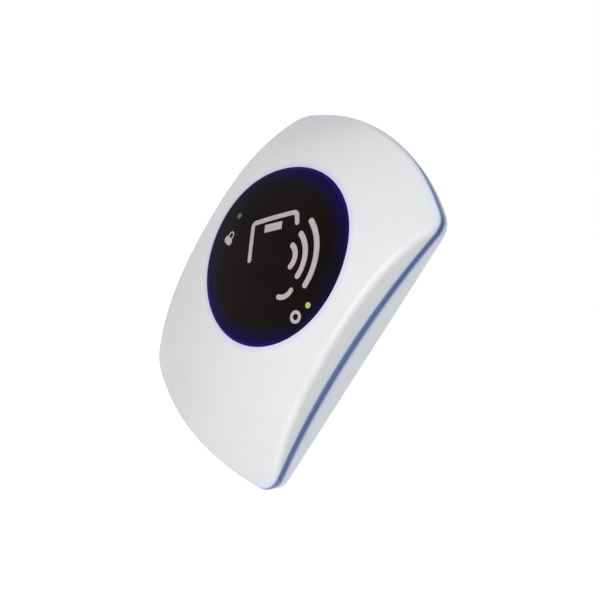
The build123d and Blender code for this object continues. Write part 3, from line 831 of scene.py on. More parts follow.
class Growth(Tree):
    """Geometry Nodes tree that makes a piece, with named sizes."""

    def __init__(self, piece: Piece) -> None:
        """Start a tree with one geometry input and output.

        Args:
            piece: The piece that it makes.
        """
        super().__init__(bpy.data.node_groups.new(piece.name, "GeometryNodeTree"))
        self.piece = piece
        for way in ("INPUT", "OUTPUT"):
            self.tree.interface.new_socket("Geometry", in_out=way, socket_type="NodeSocketGeometry")
        self.entry = self.node("NodeGroupInput")
        self.exit = self.node("NodeGroupOutput")
        self.sizes: dict[str, float] = {}

    def size(self, name: str, value: float) -> Socket:
        """Add a named input.

        Args:
            name: Name of the input.
            value: The value it is given.

        Returns:
            The socket that carries it.
        """
        settings = {"in_out": "INPUT", "socket_type": "NodeSocketFloat"}
        item = self.tree.interface.new_socket(name, **settings)
        self.sizes[item.identifier] = value
        return self.entry.outputs[name]

    def step(self, kind: str, first: Socket | None = None, **inputs: object) -> Socket:
        """Add a node.

        Args:
            kind: Node type.
            first: What its first input gets.
            inputs: Values or sockets of its other inputs, named with underscores.

        Returns:
            Its first output.
        """
        named: dict[str | int, object] = {} if first is None else {0: first}
        named |= {name.replace("_", " "): value for name, value in inputs.items()}
        return self.node(kind, None, named).outputs[0]

    def vector(self, x: Socket | float, y: Socket | float, z: Socket | float) -> Socket:
        """Join three values into a vector."""
        return self.step("ShaderNodeCombineXYZ", X=x, Y=y, Z=z)

    def move(
        self,
        shape: Socket,
        place: Triple = (0, 0, 0),
        turn: Triple = (0, 0, 0),
        scale: Triple = (1, 1, 1),
    ) -> Socket:
        """Scale, turn and then shift a shape."""
        inputs = {"Translation": place, "Rotation": turn, "Scale": scale}
        return self.step("GeometryNodeTransform", shape, **inputs)

    def box(self, size: Socket | Triple, centre: Triple) -> Socket:
        """Block, its sides given as a vector or as values."""
        return self.move(self.step("GeometryNodeMeshCube", Size=size), centre)

    def cylinder(
        self, corners: int, radius: Socket | float, depth: float, middle: float = 0.0
    ) -> Socket:
        """Cylinder along the local Z axis, its middle at a height."""
        made = self.step("GeometryNodeMeshCylinder", Vertices=corners, Radius=radius, Depth=depth)
        return self.move(made, (0, 0, middle))

    def ball(self, segments: int, rings: int, radius: Socket | float) -> Socket:
        """Sphere round the origin."""
        return self.step("GeometryNodeMeshUVSphere", Segments=segments, Rings=rings, Radius=radius)

    def circle(self, corners: int, radius: Socket | float) -> Socket:
        """Closed round curve."""
        return self.step("GeometryNodeCurvePrimitiveCircle", Resolution=corners, Radius=radius)

    def helix(
        self, steps: int, turns: float, radius: Socket | float, height: Socket | float
    ) -> Socket:
        """Curve that winds evenly up the local Z axis, with a number of steps in each turn."""
        inputs = {"Start_Radius": radius, "End_Radius": radius, "Height": height}
        return self.step("GeometryNodeCurveSpiral", Resolution=steps, Rotations=turns, **inputs)

    def sweep(self, curve: Socket, corners: int, radius: Socket | float) -> Socket:
        """Round bar along a curve, closed at its ends."""
        inputs = {"Profile_Curve": self.circle(corners, radius), "Fill_Caps": True}
        return self.step("GeometryNodeCurveToMesh", curve, **inputs)

    def smooth(self, shape: Socket) -> Socket:
        """Shade a shape smooth."""
        return self.step("GeometryNodeSetShadeSmooth", shape)

    def hang(self, wound: Socket, end: Triple) -> Socket:
        """Shade a winding smooth and turn it to run down the Y axis from its end."""
        return self.move(self.smooth(wound), end, (math.pi / 2, 0, 0))

    def join(self, *parts: Socket) -> Socket:
        """Join several geometries.

        Args:
            parts: The geometries.

        Returns:
            All of them as one.
        """
        made = self.node("GeometryNodeJoinGeometry")
        for part in parts:
            self.tree.links.new(part, made.inputs[0])
        return made.outputs[0]

    def cut(self, operation: str, first: Socket, *others: Socket) -> Socket:
        """Combine solids.

        Args:
            operation: INTERSECT or DIFFERENCE.
            first: The solid that is kept.
            others: The solids it is combined with.

        Returns:
            The geometry that is left.
        """
        settings = {"operation": operation, "solver": "EXACT"}
        made = self.node("GeometryNodeMeshBoolean", settings)
        kept = "Mesh 1" if operation == "DIFFERENCE" else "Mesh 2"
        self.tree.links.new(first, made.inputs[kept])
        for other in others:
            self.tree.links.new(other, made.inputs["Mesh 2"])
        return made.outputs[0]

    def thread(
        self, radius: float, crest: float, turns: float, length: float, start: float
    ) -> Socket:
        """Wind a screw thread round the local Z axis.

        Args:
            radius: Radius of its middle line.
            crest: How far the crest stands beyond that.
            turns: Number of turns.
            length: Length along the axis.
            start: Height at which it starts.

        Returns:
            Its geometry.
        """
        height = self.size("Thread length", length)
        reach = self.size("Thread radius", radius)
        return self.move(self.sweep(self.helix(28, turns, reach, height), 3, crest), (0, 0, start))

    def at_seeds(self, shape: Socket) -> Socket:
        """Set a shape on every seed point, turned about the board's normal.

        Args:
            shape: Shape with its foot at the origin.

        Returns:
            The instances.
        """
        settings = {"data_type": "FLOAT"}
        turn = self.node("GeometryNodeInputNamedAttribute", settings, {"Name": "turn"}).outputs[0]
        rotation = self.step("FunctionNodeEulerToRotation", self.vector(0.0, turn, 0.0))
        inputs = {"Instance": shape, "Rotation": rotation}
        return self.step("GeometryNodeInstanceOnPoints", self.entry.outputs[0], **inputs)

    def grow(
        self, shape: Socket, seed: bpy.types.Mesh | None = None, replaces: Sequence[str] = ()
    ) -> bpy.types.Object:
        """Run the tree and place its result as a plain mesh.

        Args:
            shape: The finished geometry.
            seed: Mesh that the tree starts from, none for an empty one.
            replaces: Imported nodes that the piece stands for.

        Returns:
            The new object.
        """
        real = self.step("GeometryNodeRealizeInstances", shape)
        finish = material(self.piece.finish)
        dressed = self.step("GeometryNodeSetMaterial", real, Material=finish)
        self.tree.links.new(dressed, self.exit.inputs[0])
        holder = bpy.data.objects.new("holder", seed or bpy.data.meshes.new("empty"))
        bpy.context.scene.collection.objects.link(holder)
        modifier = holder.modifiers.new("growth", "NODES")
        modifier.node_group = self.tree
        for identifier, value in self.sizes.items():
            modifier[identifier] = value
        evaluated = holder.evaluated_get(bpy.context.evaluated_depsgraph_get())
        mesh = bpy.data.meshes.new_from_object(evaluated)
        holder.modifiers.remove(modifier)
        bpy.data.objects.remove(holder)
        mesh.name = self.piece.name
        return self.piece.place(mesh, replaces)


def seeds(places: Sequence[Triple], depth: float) -> bpy.types.Mesh:
    """Mesh of loose points with a turn for each.

    Args:
        places: X and z in millimetres and turn in degrees of each point.
        depth: Their y in metres.

    Returns:
        The mesh.
    """
    mesh = bpy.data.meshes.new("seeds")
    mesh.from_pydata([(x * MM, depth, z * MM) for x, z, _ in places], [], [])
    turns = mesh.attributes.new("turn", "FLOAT", "POINT")
    for value, (_, _, turn) in zip(turns.data, places):
        value.value = math.radians(turn)
    return mesh


def paths(lines: Sequence[Sequence[Point]]) -> bpy.types.Mesh:
    """Mesh of open edge paths.

    Args:
        lines: Corner points of each path, x and z in millimetres.

    Returns:
        The mesh.
    """
    points, edges = [], []
    for line in lines:
        start = len(points)
        points += [(x * MM, 0.0, z * MM) for x, z in line]
        edges += [(start + k, start + k + 1) for k in range(len(line) - 1)]
    mesh = bpy.data.meshes.new("paths")
    mesh.from_pydata(points, edges, [])
    return mesh


@dataclass
class Studio:
    """Camera, floor and lights."""

    camera_place: Triple = (0.29263, -0.29394, 0.08866)
    camera_aim: Triple = (0.00024, 0.00053, 0.00095)
    camera_roll: float = 31.787
    lens: float = 80.37
    floor_z: float = -0.35
    floor_radius: float = 4.0
    floor_glow: float = 0.92
    grain: Noise = Noise(60)
    room_light: float = 0.17
    lamps: tuple[tuple[str, Triple, float, float], ...] = (
        ("key", (0.46, -0.62, 0.10), 0.55, 5.0),
        ("back", (0.0, 0.78, -0.05), 0.60, 2.6),
        ("top", (-0.05, -0.25, 0.75), 0.50, 1.2),
    )

    def camera(self) -> None:
        """Set up the camera."""
        made = bpy.data.objects.new("camera", bpy.data.cameras.new("camera"))
        made.data.lens = self.lens
        made.data.sensor_width = 36.0
        made.data.clip_start = 0.01
        made.data.clip_end = 20.0
        place = Vector(self.camera_place)
        turn = (Vector(self.camera_aim) - place).to_track_quat("-Z", "Y")
        roll = Quaternion((0, 0, 1), math.radians(self.camera_roll))
        made.matrix_world = Matrix.Translation(place) @ (turn @ roll).to_matrix().to_4x4()
        bpy.context.scene.collection.objects.link(made)
        bpy.context.scene.camera = made

    def floor(self) -> None:
        """Lay a wide pale floor that keeps a faint shadow."""
        form = bmesh.new()
        bmesh.ops.create_circle(form, cap_ends=True, segments=64, radius=self.floor_radius)
        mesh = mesh_from("floor", form, None)
        mesh.transform(Matrix.Translation((0, 0, self.floor_z)))
        graph = Graph("floor_white")
        colour = graph.blend(graph.noise(self.grain), (0.90, 0.90, 0.90), (0.93, 0.93, 0.93))
        paint = graph.add("ShaderNodeBsdfDiffuse", None, {"Color": colour})
        white = graph.add("ShaderNodeEmission", None, {"Strength": self.floor_glow})
        lit = graph.add("ShaderNodeAddShader", None, {0: paint, 1: white})
        shown = graph.add("ShaderNodeMixShader", None, {0: graph.seen(), 1: paint, 2: lit})
        mesh.materials.append(graph.finish(shown))
        made = bpy.data.objects.new("floor", mesh)
        bpy.context.scene.collection.objects.link(made)

    def world(self) -> None:
        """Surround the reader with even pale light and a white backdrop."""
        graph = Graph("studio_world", world=True)
        pale = {"Color": (0.93, 0.95, 1.0, 1), "Strength": self.room_light}
        room = graph.add("ShaderNodeBackground", None, pale)
        white = graph.add("ShaderNodeBackground", None, {"Color": (1, 1, 1, 1), "Strength": 1.0})
        shown = graph.add("ShaderNodeMixShader", None, {0: graph.seen(), 1: room, 2: white})
        bpy.context.scene.world = graph.finish(shown)

    def lamp(self, name: str, place: Triple, size: float, power: float) -> None:
        """Add a square soft lamp that faces the origin.

        Args:
            name: Its name.
            place: Where it hangs.
            size: Its side in metres.
            power: Its power in watts.
        """
        data = bpy.data.lights.new(name, "AREA")
        data.size = size
        data.energy = power
        made = bpy.data.objects.new(name, data)
        made.location = place
        made.rotation_mode = "QUATERNION"
        made.rotation_quaternion = (Vector() - Vector(place)).to_track_quat("-Z", "Y")
        bpy.context.scene.collection.objects.link(made)

    def build(self) -> None:
        """Set up the whole studio."""
        self.camera()
        self.floor()
        self.world()
        for lamp in self.lamps:
            self.lamp(*lamp)
        bpy.context.scene.view_settings.view_transform = "Standard"


@dataclass
class Assembly:
    """Part of the reader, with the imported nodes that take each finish."""

    finishes: Finishes = ()

    def dress(self, nodes: Nodes) -> None:
        """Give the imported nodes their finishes.

        Args:
            nodes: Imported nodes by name.
        """
        for finish, names in self.finishes:
            for name in names:
                for slot in nodes[name].material_slots:
                    slot.material = material(finish)
                LOG.info("%s: %s", name, finish.value.name)


@dataclass
class Housing(Assembly):
    """Cover, wall base, light guide, halo, window and grommet."""

    finishes: Finishes = (
        (Finish.COVER, ("front_cover",)),
        (Finish.BASE, ("rear_base",)),
        (Finish.GUIDE, ("seam_light_guide",)),
        (Finish.HALO, ("halo_ring",)),
        (Finish.WINDOW, ("lens_disc",)),
        (Finish.TAPE, ("lens_tape",)),
        (Finish.RUBBER, ("cable_grommet",)),
    )

    def build(self, nodes: Nodes) -> None:
        """Dress the moulded nodes."""
        self.dress(nodes)


def arc(centre: Point, radius: float, start: float, end: float, count: int = 24) -> list[Point]:
    """Points along an arc from a start to an end angle in degrees, in even steps."""
    angles = [math.radians(start + (end - start) * k / count) for k in range(count + 1)]
    return [(centre[0] + radius * math.cos(a), centre[1] + radius * math.sin(a)) for a in angles]


def bend(a: Point, b: Point, c: Point, count: int = 24) -> list[Point]:
    """Points along the arc through three places.

    Args:
        a: Start.
        b: A place on the way.
        c: End.
        count: Number of steps.

    Returns:
        The points.
    """
    (ax, ay), (bx, by), (cx, cy) = a, b, c
    twice = 2 * (ax * (by - cy) + bx * (cy - ay) + cx * (ay - by))
    sa, sb, sc = ax * ax + ay * ay, bx * bx + by * by, cx * cx + cy * cy
    ux = (sa * (by - cy) + sb * (cy - ay) + sc * (ay - by)) / twice
    uy = (sa * (cx - bx) + sb * (ax - cx) + sc * (bx - ax)) / twice
    start, via, end = (math.degrees(math.atan2(y - uy, x - ux)) for x, y in (a, b, c))
    sweep = (end - start) % 360
    if (via - start) % 360 > sweep:
        sweep -= 360
    return arc((ux, uy), math.hypot(ax - ux, ay - uy), start, start + sweep, count)


@dataclass
class Pen:
    """Draws thin ink on the window, in millimetres across and up from the window's centre."""

    glass: BVHTree
    film: float = 0.03
    sink: float = 0.05
    step: float = 0.5
    round_steps: int = 40
    pinhole: float = 0.02
    form: bmesh.types.BMesh = field(default_factory=bmesh.new)

    def stand(self, place: Point) -> list[bmesh.types.BMVert]:
        """Top and foot of the ink at a place.

        Args:
            place: The place.

        Returns:
            The two vertices.
        """
        x, z = place[0] * MM, place[1] * MM + FORM.window_z
        y = self.glass.ray_cast(Vector((x, -1.0, z)), Vector((0, 1, 0)))[0].y
        return [self.form.verts.new((x, y + rise * MM, z)) for rise in (-self.film, self.sink)]

    def slab(self, left: Sequence[Point], right: Sequence[Point], closed: bool = False) -> None:
        """Draw a strip between two edges.

        Args:
            left: Points of one edge.
            right: Points of the other edge.
            closed: Whether the strip's end joins its start.
        """
        rows = [self.stand(a) + self.stand(b) for a, b in zip(left, right)]
        pairs = list(zip(rows, rows[1:]))
        if closed:
            pairs.append((rows[-1], rows[0]))
        for one, two in pairs:
            corners = one + two
            for side in ((0, 4, 6, 2), (1, 3, 7, 5), (0, 1, 5, 4), (2, 6, 7, 3)):
                self.form.faces.new([corners[k] for k in side])
        if not closed:
            for row in (rows[0], rows[-1]):
                self.form.faces.new((row[0], row[2], row[3], row[1]))

    def spread(self, path: Sequence[Point]) -> list[Point]:
        """Divide a path into even short steps.

        Args:
            path: Corner points.

        Returns:
            Points a step or less apart, corners kept.
        """
        points = [path[0]]
        for (x0, z0), (x1, z1) in zip(path, path[1:]):
            count = max(1, math.ceil(math.hypot(x1 - x0, z1 - z0) / self.step))
            shares = [k / count for k in range(1, count + 1)]
            points += [(x0 + (x1 - x0) * share, z0 + (z1 - z0) * share) for share in shares]
        return points

    def line(self, path: Sequence[Point], width: float, blunt: bool = False) -> None:
        """Draw a line.

        Args:
            path: Its middle line.
            width: Its width.
            blunt: Whether its ends are cut square instead of round.
        """
        points = self.spread(path)
        left, right = [], []
        half = width / 2
        for index, (x, z) in enumerate(points):
            before = points[max(0, index - 1)]
            after = points[min(len(points) - 1, index + 1)]
            run = Vector((after[0] - before[0], after[1] - before[1])).normalized()
            side = Vector((-run.y, run.x))
            if 0 < index < len(points) - 1:
                first = Vector((x - before[0], z - before[1])).normalized()
                side /= max(0.5, abs(run.dot(first)))
            left.append((x + side.x * half, z + side.y * half))
            right.append((x - side.x * half, z - side.y * half))
        for end, way in () if blunt else ((0, -1), (-1, 1)):
            a, b = Vector(left[end]), Vector(right[end])
            middle, out = (a + b) / 2, (a - b) / 2
            ahead = Vector((out.y, -out.x)) * way
            tips = []
            for angle in (25, 50, 75):
                c, s = math.cos(math.radians(angle)), math.sin(math.radians(angle))
                front = middle + ahead * s
                tips.append((tuple(front + out * c), tuple(front - out * c)))
            for edge, cap in zip((left, right), zip(*tips)):
                if way < 0:
                    edge[:0] = reversed(cap)
                else:
                    edge += cap
        self.slab(left, right)

    def ring(self, centre: Point, outer: float, inner: float) -> None:
        """Draw a ring.

        Args:
            centre: Its centre.
            outer: Its outer radius.
            inner: Its inner radius.
        """
        steps = self.round_steps
        left, right = (arc(centre, radius, 0, 360, steps)[:-1] for radius in (outer, inner))
        self.slab(left, right, closed=True)

    def dot(self, centre: Point, radius: float) -> None:
        """Draw a round spot with a pinhole in its middle."""
        self.ring(centre, radius, radius * self.pinhole)


@dataclass
class WindowPrint:
    """Marks on the window: an open card with its chip, three waves, two signs and two lamps."""

    stroke: float = 1.6
    wave: float = 1.85
    chip: float = 2.6
    padlock: Point = (-20.0, -5.5)
    ring: Point = (22.7, -9.2)
    lamp: float = 0.95
    lamp_left: Point = (-21.9, 2.05)
    lamp_right: Point = (24.35, -4.0)

    def card(self, pen: Pen) -> None:
        """Print the open card outline with its chip.

        Args:
            pen: The pen that draws it.
        """
        line = [(-5.5, -5.9), (-9.4, -1.0), (-12.4, 2.5)]
        line += bend((-12.4, 2.5), (-12.75, 3.4), (-12.1, 4.4), 8)[1:]
        line += [(-7.1, 9.0), (-1.4, 14.1)]
        line += bend((-1.4, 14.1), (-0.1, 14.7), (0.9, 14.35), 8)[1:] + [(2.8, 12.8)]
        pen.line(line, self.stroke)
        pen.line(bend((13.2, -8.1), (15.3, -6.6), (16.1, -3.9), 16), self.stroke)
        pen.line([(-7.3, 4.7), (-1.9, 9.2)], self.chip, blunt=True)

    def waves(self, pen: Pen) -> None:
        """Print the three waves.

        Args:
            pen: The pen that draws it.
        """
        for places in (
            ((6.9, 6.7), (10.2, 4.7), (10.9, 1.4)),
            ((6.9, 11.0), (12.7, 7.5), (15.2, 0.6)),
            ((6.9, 15.9), (15.5, 10.4), (19.5, 0.0)),
        ):
            pen.line(bend(*places), self.wave)

    def signs(self, pen: Pen) -> None:
        """Print the ring at the right and the small padlock at the left.

        Args:
            pen: The pen that draws it.
        """
        pen.ring(self.ring, outer=2.0, inner=0.95)
        x, z = self.padlock
        half, body, bow, bar = 0.95, 2.4, 1.05, 0.5
        pen.line([(x - half, z - body / 3), (x + half, z - body / 3)], body)
        shackle = arc((x, z + body / 2), bow, 180, 0, 12)
        pen.line([(x - bow, z + body / 6), *shackle, (x + bow, z + body / 6)], bar)

    def lamp_off(self, pen: Pen) -> None:
        """Print the unlit lamp's spot."""
        pen.dot(self.lamp_left, self.lamp)

    def lamp_on(self, pen: Pen) -> None:
        """Print the lit lamp's spot."""
        pen.dot(self.lamp_right, self.lamp)

    def build(self, nodes: Nodes) -> None:
        """Print the window.

        Args:
            nodes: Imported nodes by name.
        """
        lens = nodes["lens_disc"].data
        glass = BVHTree.FromPolygons(
            [vertex.co.copy() for vertex in lens.vertices],
            [tuple(face.vertices) for face in lens.polygons],
        )
        for name, finish, slot, draw in (
            ("print_card", Finish.PRINT, "window", self.card),
            ("print_waves", Finish.PRINT, "window", self.waves),
            ("print_signs", Finish.PRINT, "window", self.signs),
            ("lamp_spot_left", Finish.LAMP_OFF, "clear_plastic", self.lamp_off),
            ("lamp_spot_right", Finish.LAMP_ON, "clear_plastic", self.lamp_on),
        ):
            pen = Pen(glass)
            draw(pen)
            Piece(name, Body.FRONT, finish, slot).place(mesh_from(name, pen.form))


@dataclass
class Electronics(Assembly):
    """Circuit board and what is soldered to it."""

    finishes: Finishes = (
        (Finish.BOARD, ("circuit_board",)),
        (Finish.CHIP, ("controller_chip", "reader_chip", "voltage_regulator")),
        (Finish.CAN, ("crystal",)),
        (Finish.BLACK, ("power_inductor", "buzzer")),
        (Finish.CAPACITOR, ("filter_capacitor",)),
        (Finish.GREY, ("coil_bobbin",)),
        (Finish.WINDING, ("antenna_coil",)),
        (Finish.NYLON, ("wire_connector",)),
        (Finish.PAD, ("connector_pins",)),
        (Finish.SWITCH, ("tamper_switch",)),
        (Finish.LED_BODY, ("status_led_left", "status_led_right")),
        (Finish.LED_BODY, ("seam_led_1", "seam_led_2", "seam_led_3", "seam_led_4")),
        (Finish.CLEAR, ("light_pipe_left", "light_pipe_right")),
        (Finish.STEEL, ("board_screws",)),
    )
    wire: float = 0.2 * MM
    layers: int = 8
    turns: float = 5.0
    joint: float = 0.75 * MM
    joint_rise: float = 0.55
    pin_start: Point = (-8.75, -26.0)
    pin_pitch: float = 2.5
    pin_count: int = 8
    other_pins: tuple[Point, ...] = ((-3.3, -19.6), (3.3, -19.6), (-21.0, 30.4), (-18.4, 30.4))
    track: float = 0.5 * MM
    track_rise: float = 0.12
    track_bend: float = 0.4 * MM
    frame_line: float = 0.18 * MM
    via: float = 0.34 * MM
    via_rim: float = 0.13 * MM
    via_rise: float = 0.5
    via_clearance: float = 1.7
    screw_head: float = 2.2 * MM
    screw_core: float = 0.95 * MM
    screw_thread: float = 1.02 * MM
    screw_crest: float = 0.18 * MM
    screw_turns: float = 6.5
    screw_run_out: float = 0.6 * MM
    screw_lead_in: float = 0.2 * MM
    screw_twist: float = 20.0
    recess: tuple[float, float, float] = (2.3 * MM, 0.5 * MM, 1.6 * MM)
    chip: Point = (1.1 * MM, 0.8 * MM)
    chip_end: Point = (0.32 * MM, 0.84 * MM)
    end_reach: float = 0.7 * MM
    end_proud: float = 0.04 * MM
    lead_width: float = 0.34 * MM
    lead_thickness: float = 0.15 * MM
    framed: tuple[tuple[str, float], ...] = (
        ("controller_chip", 1.9),
        ("reader_chip", 1.6),
        ("crystal", 0.6),
        ("voltage_regulator", 1.5),
        ("power_inductor", 0.8),
        ("wire_connector", 0.5),
        ("tamper_switch", 0.6),
    )
    resistors: tuple[tuple[float, float, float], ...] = (
        (5.2, 19.0, 0), (5.2, 21.4, 0), (18.8, 19.6, 0), (18.8, 22.0, 0), (9.6, 29.2, 90), (12.0, 29.2, 90),
        (-17.6, 22.6, 0), (-6.6, 22.6, 0), (-13.6, 29.0, 90), (-17.6, 3.6, 0), (-17.6, 6.0, 0),
        (-14.4, -6.4, 90), (-9.0, -20.4, 90), (-6.6, -20.4, 90), (6.6, -20.4, 90), (9.0, -20.4, 90),
        (25.4, 8.0, 90), (25.4, 3.0, 90), (-26.0, 12.4, 90),
    )
    ceramics: tuple[tuple[float, float, float], ...] = (
        (5.2, 24.0, 0), (18.8, 24.6, 0), (14.6, 29.2, 90), (-17.6, 25.2, 0), (-6.6, 25.2, 0),
        (-10.8, 29.0, 90), (-17.6, 8.6, 0), (-22.0, 0.4, 90), (-14.4, -9.6, 90), (-20.0, -13.4, 0),
        (3.4, 27.6, 0), (3.4, 33.4, 0), (-12.6, -20.4, 90), (12.6, -20.4, 90),
    )
    back_tracks: tuple[tuple[Point, ...], ...] = (
        ((-8.75, -22.6), (-8.75, -16.0), (-16.0, -8.8), (-16.6, -8.8)),
        ((-6.25, -22.6), (-6.25, -14.0), (-12.4, -7.8), (-12.4, 14.0), (-14.2, 15.8), (-14.2, 20.6)),
        ((-3.75, -22.6), (-3.75, 6.0), (-11.6, 13.9), (-11.6, 20.6)),
        ((-1.25, -22.6), (-1.25, 8.0), (6.2, 15.4), (8.4, 15.4), (8.4, 16.4)),
        ((1.25, -22.6), (1.25, 5.4), (9.2, 13.4), (9.2, 16.4)),
        ((3.75, -22.6), (3.75, 4.6), (10.8, 11.6), (10.8, 16.4)),
        ((6.25, -22.6), (6.25, -8.0), (12.4, -1.8), (12.4, 16.4)),
        ((8.75, -22.6), (8.75, -9.0), (14.0, -3.8), (14.0, 16.4)),
        ((17.0, -16.6), (17.0, 10.4), (15.6, 11.8), (15.6, 16.4)),
        ((-17.0, 2.4), (-17.0, -1.6), (-19.2, -3.8), (-19.2, -4.4)),
        ((-22.0, 10.0), (-22.0, 17.2), (-17.4, 21.8)),
        ((-2.2, 24.4), (-2.2, 20.4), (-6.0, 20.4), (-6.8, 21.2)),
        ((0.4, 24.4), (0.4, 18.4), (4.4, 18.4)),
        ((19.8, 22.0), (24.6, 17.2), (24.6, 9.2)),
        ((19.8, 24.6), (27.6, 16.8), (27.6, -5.4)),
        ((-27.6, 11.4), (-27.6, -6.0), (-24.0, -9.6)),
    )

    @property
    def back(self) -> float:
        """Y of the board's back face."""
        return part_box("circuit_board")[1].y

    def gull_leads(
        self, name: str, node: str, per_side: int, pitch: float, sides: Sequence[int]
    ) -> None:
        """Set bent leads round a chip on the back of the board.

        Args:
            name: Name of the piece.
            node: The chip's node.
            per_side: Leads on each side.
            pitch: Distance between leads in millimetres.
            sides: Quarter turns of the sides that have leads.
        """
        low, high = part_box(node)
        x, z = (low.x + high.x) / 2 / MM, (low.z + high.z) / 2 / MM
        reach = ((high.x - low.x) / 2 / MM, (high.z - low.z) / 2 / MM)
        places = []
        for side in sides:
            for k in range(per_side):
                along = (k - (per_side - 1) / 2) * pitch
                spot = Matrix.Rotation(side * math.pi / 2, 2) @ Vector((reach[side % 2], along))
                places.append((x + spot.x, z + spot.y, -90 * side))
        tree = Growth(Piece(name, Body.FRONT, Finish.PAD, "connector_plastic"))
        wide = tree.size("Lead width", self.lead_width)
        thick = tree.size("Lead thickness", self.lead_thickness)
        shoulder = tree.box(tree.vector(0.5 * MM, thick, wide), (0.2 * MM, 0.65 * MM, 0))
        drop = tree.box(tree.vector(thick, 0.72 * MM, wide), (0.45 * MM, 0.36 * MM, 0))
        foot = tree.box(tree.vector(0.6 * MM, thick, wide), (0.7 * MM, 0.075 * MM, 0))
        tree.grow(tree.at_seeds(tree.join(shoulder, drop, foot)), seeds(places, self.back))

    def small_parts(self) -> None:
        """Set chip resistors and ceramic capacitors with their tinned ends on the back."""
        (long, wide), (short, broad) = self.chip, self.chip_end
        for name, places, finish, high in (
            ("chip_resistors", self.resistors, Finish.RESISTOR, 0.5 * MM),
            ("ceramic_capacitors", self.ceramics, Finish.CERAMIC, 0.8 * MM),
        ):
            tree = Growth(Piece(name, Body.FRONT, finish, "switch_plastic"))
            size = tree.vector(long, tree.size("Height", high), wide)
            body = tree.box(size, (0, high / 2, 0))
            tree.grow(tree.at_seeds(body), seeds(places, self.back))
            tree = Growth(Piece(name + "_ends", Body.FRONT, Finish.PAD, "can_metal"))
            size = tree.vector(short, tree.size("Height", high + self.end_proud), broad)
            ends = [tree.box(size, (x, high / 2, 0)) for x in (-self.end_reach, self.end_reach)]
            tree.grow(tree.at_seeds(tree.join(*ends)), seeds(places, self.back))

    def solder(self) -> None:
        """Set solder domes where pins come through the board."""
        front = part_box("circuit_board")[0].y
        x, z = self.pin_start
        pins = [(x + self.pin_pitch * k, z, 0.0) for k in range(self.pin_count)]
        others = [(x, z, 0.0) for x, z in self.other_pins]
        for name, places, depth in (
            ("solder_front", pins, front),
            ("solder_back", others, self.back),
        ):
            tree = Growth(Piece(name, Body.FRONT, Finish.SOLDER, "can_metal"))
            ball = tree.ball(16, 10, tree.size("Joint radius", self.joint))
            dome = tree.smooth(tree.move(ball, scale=(1.0, self.joint_rise, 1.0)))
            tree.grow(tree.at_seeds(dome), seeds(places, depth))

    def strips(self, piece: Piece, lines: Sequence[Sequence[Point]], width: float) -> None:
        """Lay flat rounded strips along paths on the back of the board.

        Args:
            piece: The piece that they make up.
            lines: Corner points of each path in millimetres.
            width: Width of a strip in metres.
        """
        tree = Growth(piece)
        half = tree.size("Half width", width / 2)
        line = tree.step("GeometryNodeMeshToCurve", tree.entry.outputs[0])
        soft = tree.step("GeometryNodeFilletCurve", line, Radius=self.track_bend)
        bar = tree.sweep(soft, 8, half)
        flat = tree.move(bar, (0, self.back, 0), scale=(1.0, self.track_rise, 1.0))
        tree.grow(flat, paths(lines))

    def vias(self) -> None:
        """Set a plated via at each end of a track that doesn't meet a part."""
        tree = Growth(Piece("vias", Body.FRONT, Finish.PAD, "can_metal"))
        loop = tree.circle(16, tree.size("Via radius", self.via))
        ring = tree.sweep(loop, 6, tree.size("Rim radius", self.via_rim))
        stood = tree.move(ring, turn=(math.pi / 2, 0, 0), scale=(1.0, 1.0, self.via_rise))
        tips = [line[end] for line in self.back_tracks for end in (0, -1)]
        places = [(x, z, 0.0) for x, z in tips if self.bare(x, z)]
        tree.grow(tree.at_seeds(stood), seeds(places, self.back))

    def bare(self, x: float, z: float) -> bool:
        """Whether a place on the back is clear of every part.

        Args:
            x: Its x in millimetres.
            z: Its z in millimetres.

        Returns:
            True where a via has room.
        """
        for low, _, high, _, _ in self.outlines():
            if low[0] < x < high[0] and low[1] < z < high[1]:
                return False
        parts = self.resistors + self.ceramics
        return all(math.hypot(x - at[0], z - at[1]) > self.via_clearance for at in parts)

    def outlines(self) -> list[list[Point]]:
        """Printed frame round each larger part on the back.

        Returns:
            A closed path for each part, in millimetres.
        """
        frames = []
        for name, margin in self.framed:
            low, high = (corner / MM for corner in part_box(name))
            left, right = low.x - margin, high.x + margin
            foot, top = low.z - margin, high.z + margin
            frames.append([(left, foot), (right, foot), (right, top), (left, top), (left, foot)])
        return frames

    def board_screws(self) -> None:
        """Make the four pan-head screws with their cross recess and thread."""
        low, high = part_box("board_screws")
        rise, reach = high.y - self.back, self.back - low.y
        tree = Growth(Piece("board_screw_set", Body.FRONT, Finish.STEEL, "screw_steel"))
        disc = tree.cylinder(40, tree.size("Head radius", self.screw_head), 2 * rise, rise)
        crown = tree.move(tree.ball(40, 32, 2 * rise), (0, 0, -rise))
        long, wide, deep = self.recess
        arms = [tree.box(size, (0, 0, rise)) for size in ((long, wide, deep), (wide, long, deep))]
        pan = tree.cut("DIFFERENCE", tree.cut("INTERSECT", disc, crown), *arms)
        core = tree.cylinder(24, self.screw_core, reach, -reach / 2)
        length, start = reach - self.screw_run_out, self.screw_lead_in - reach
        middle, crest, turns = self.screw_thread, self.screw_crest, self.screw_turns
        thread = tree.thread(middle, crest, turns, length, start)
        turned = tree.move(tree.join(pan, core, thread), turn=(-math.pi / 2, 0, 0))
        side = (high.x - self.screw_head) / MM
        foot, top = (low.z + self.screw_head) / MM, (high.z - self.screw_head) / MM
        places = [(x, z, self.screw_twist * x) for x in (-side, side) for z in (foot, top)]
        tree.grow(tree.at_seeds(turned), seeds(places, self.back), ("board_screws",))

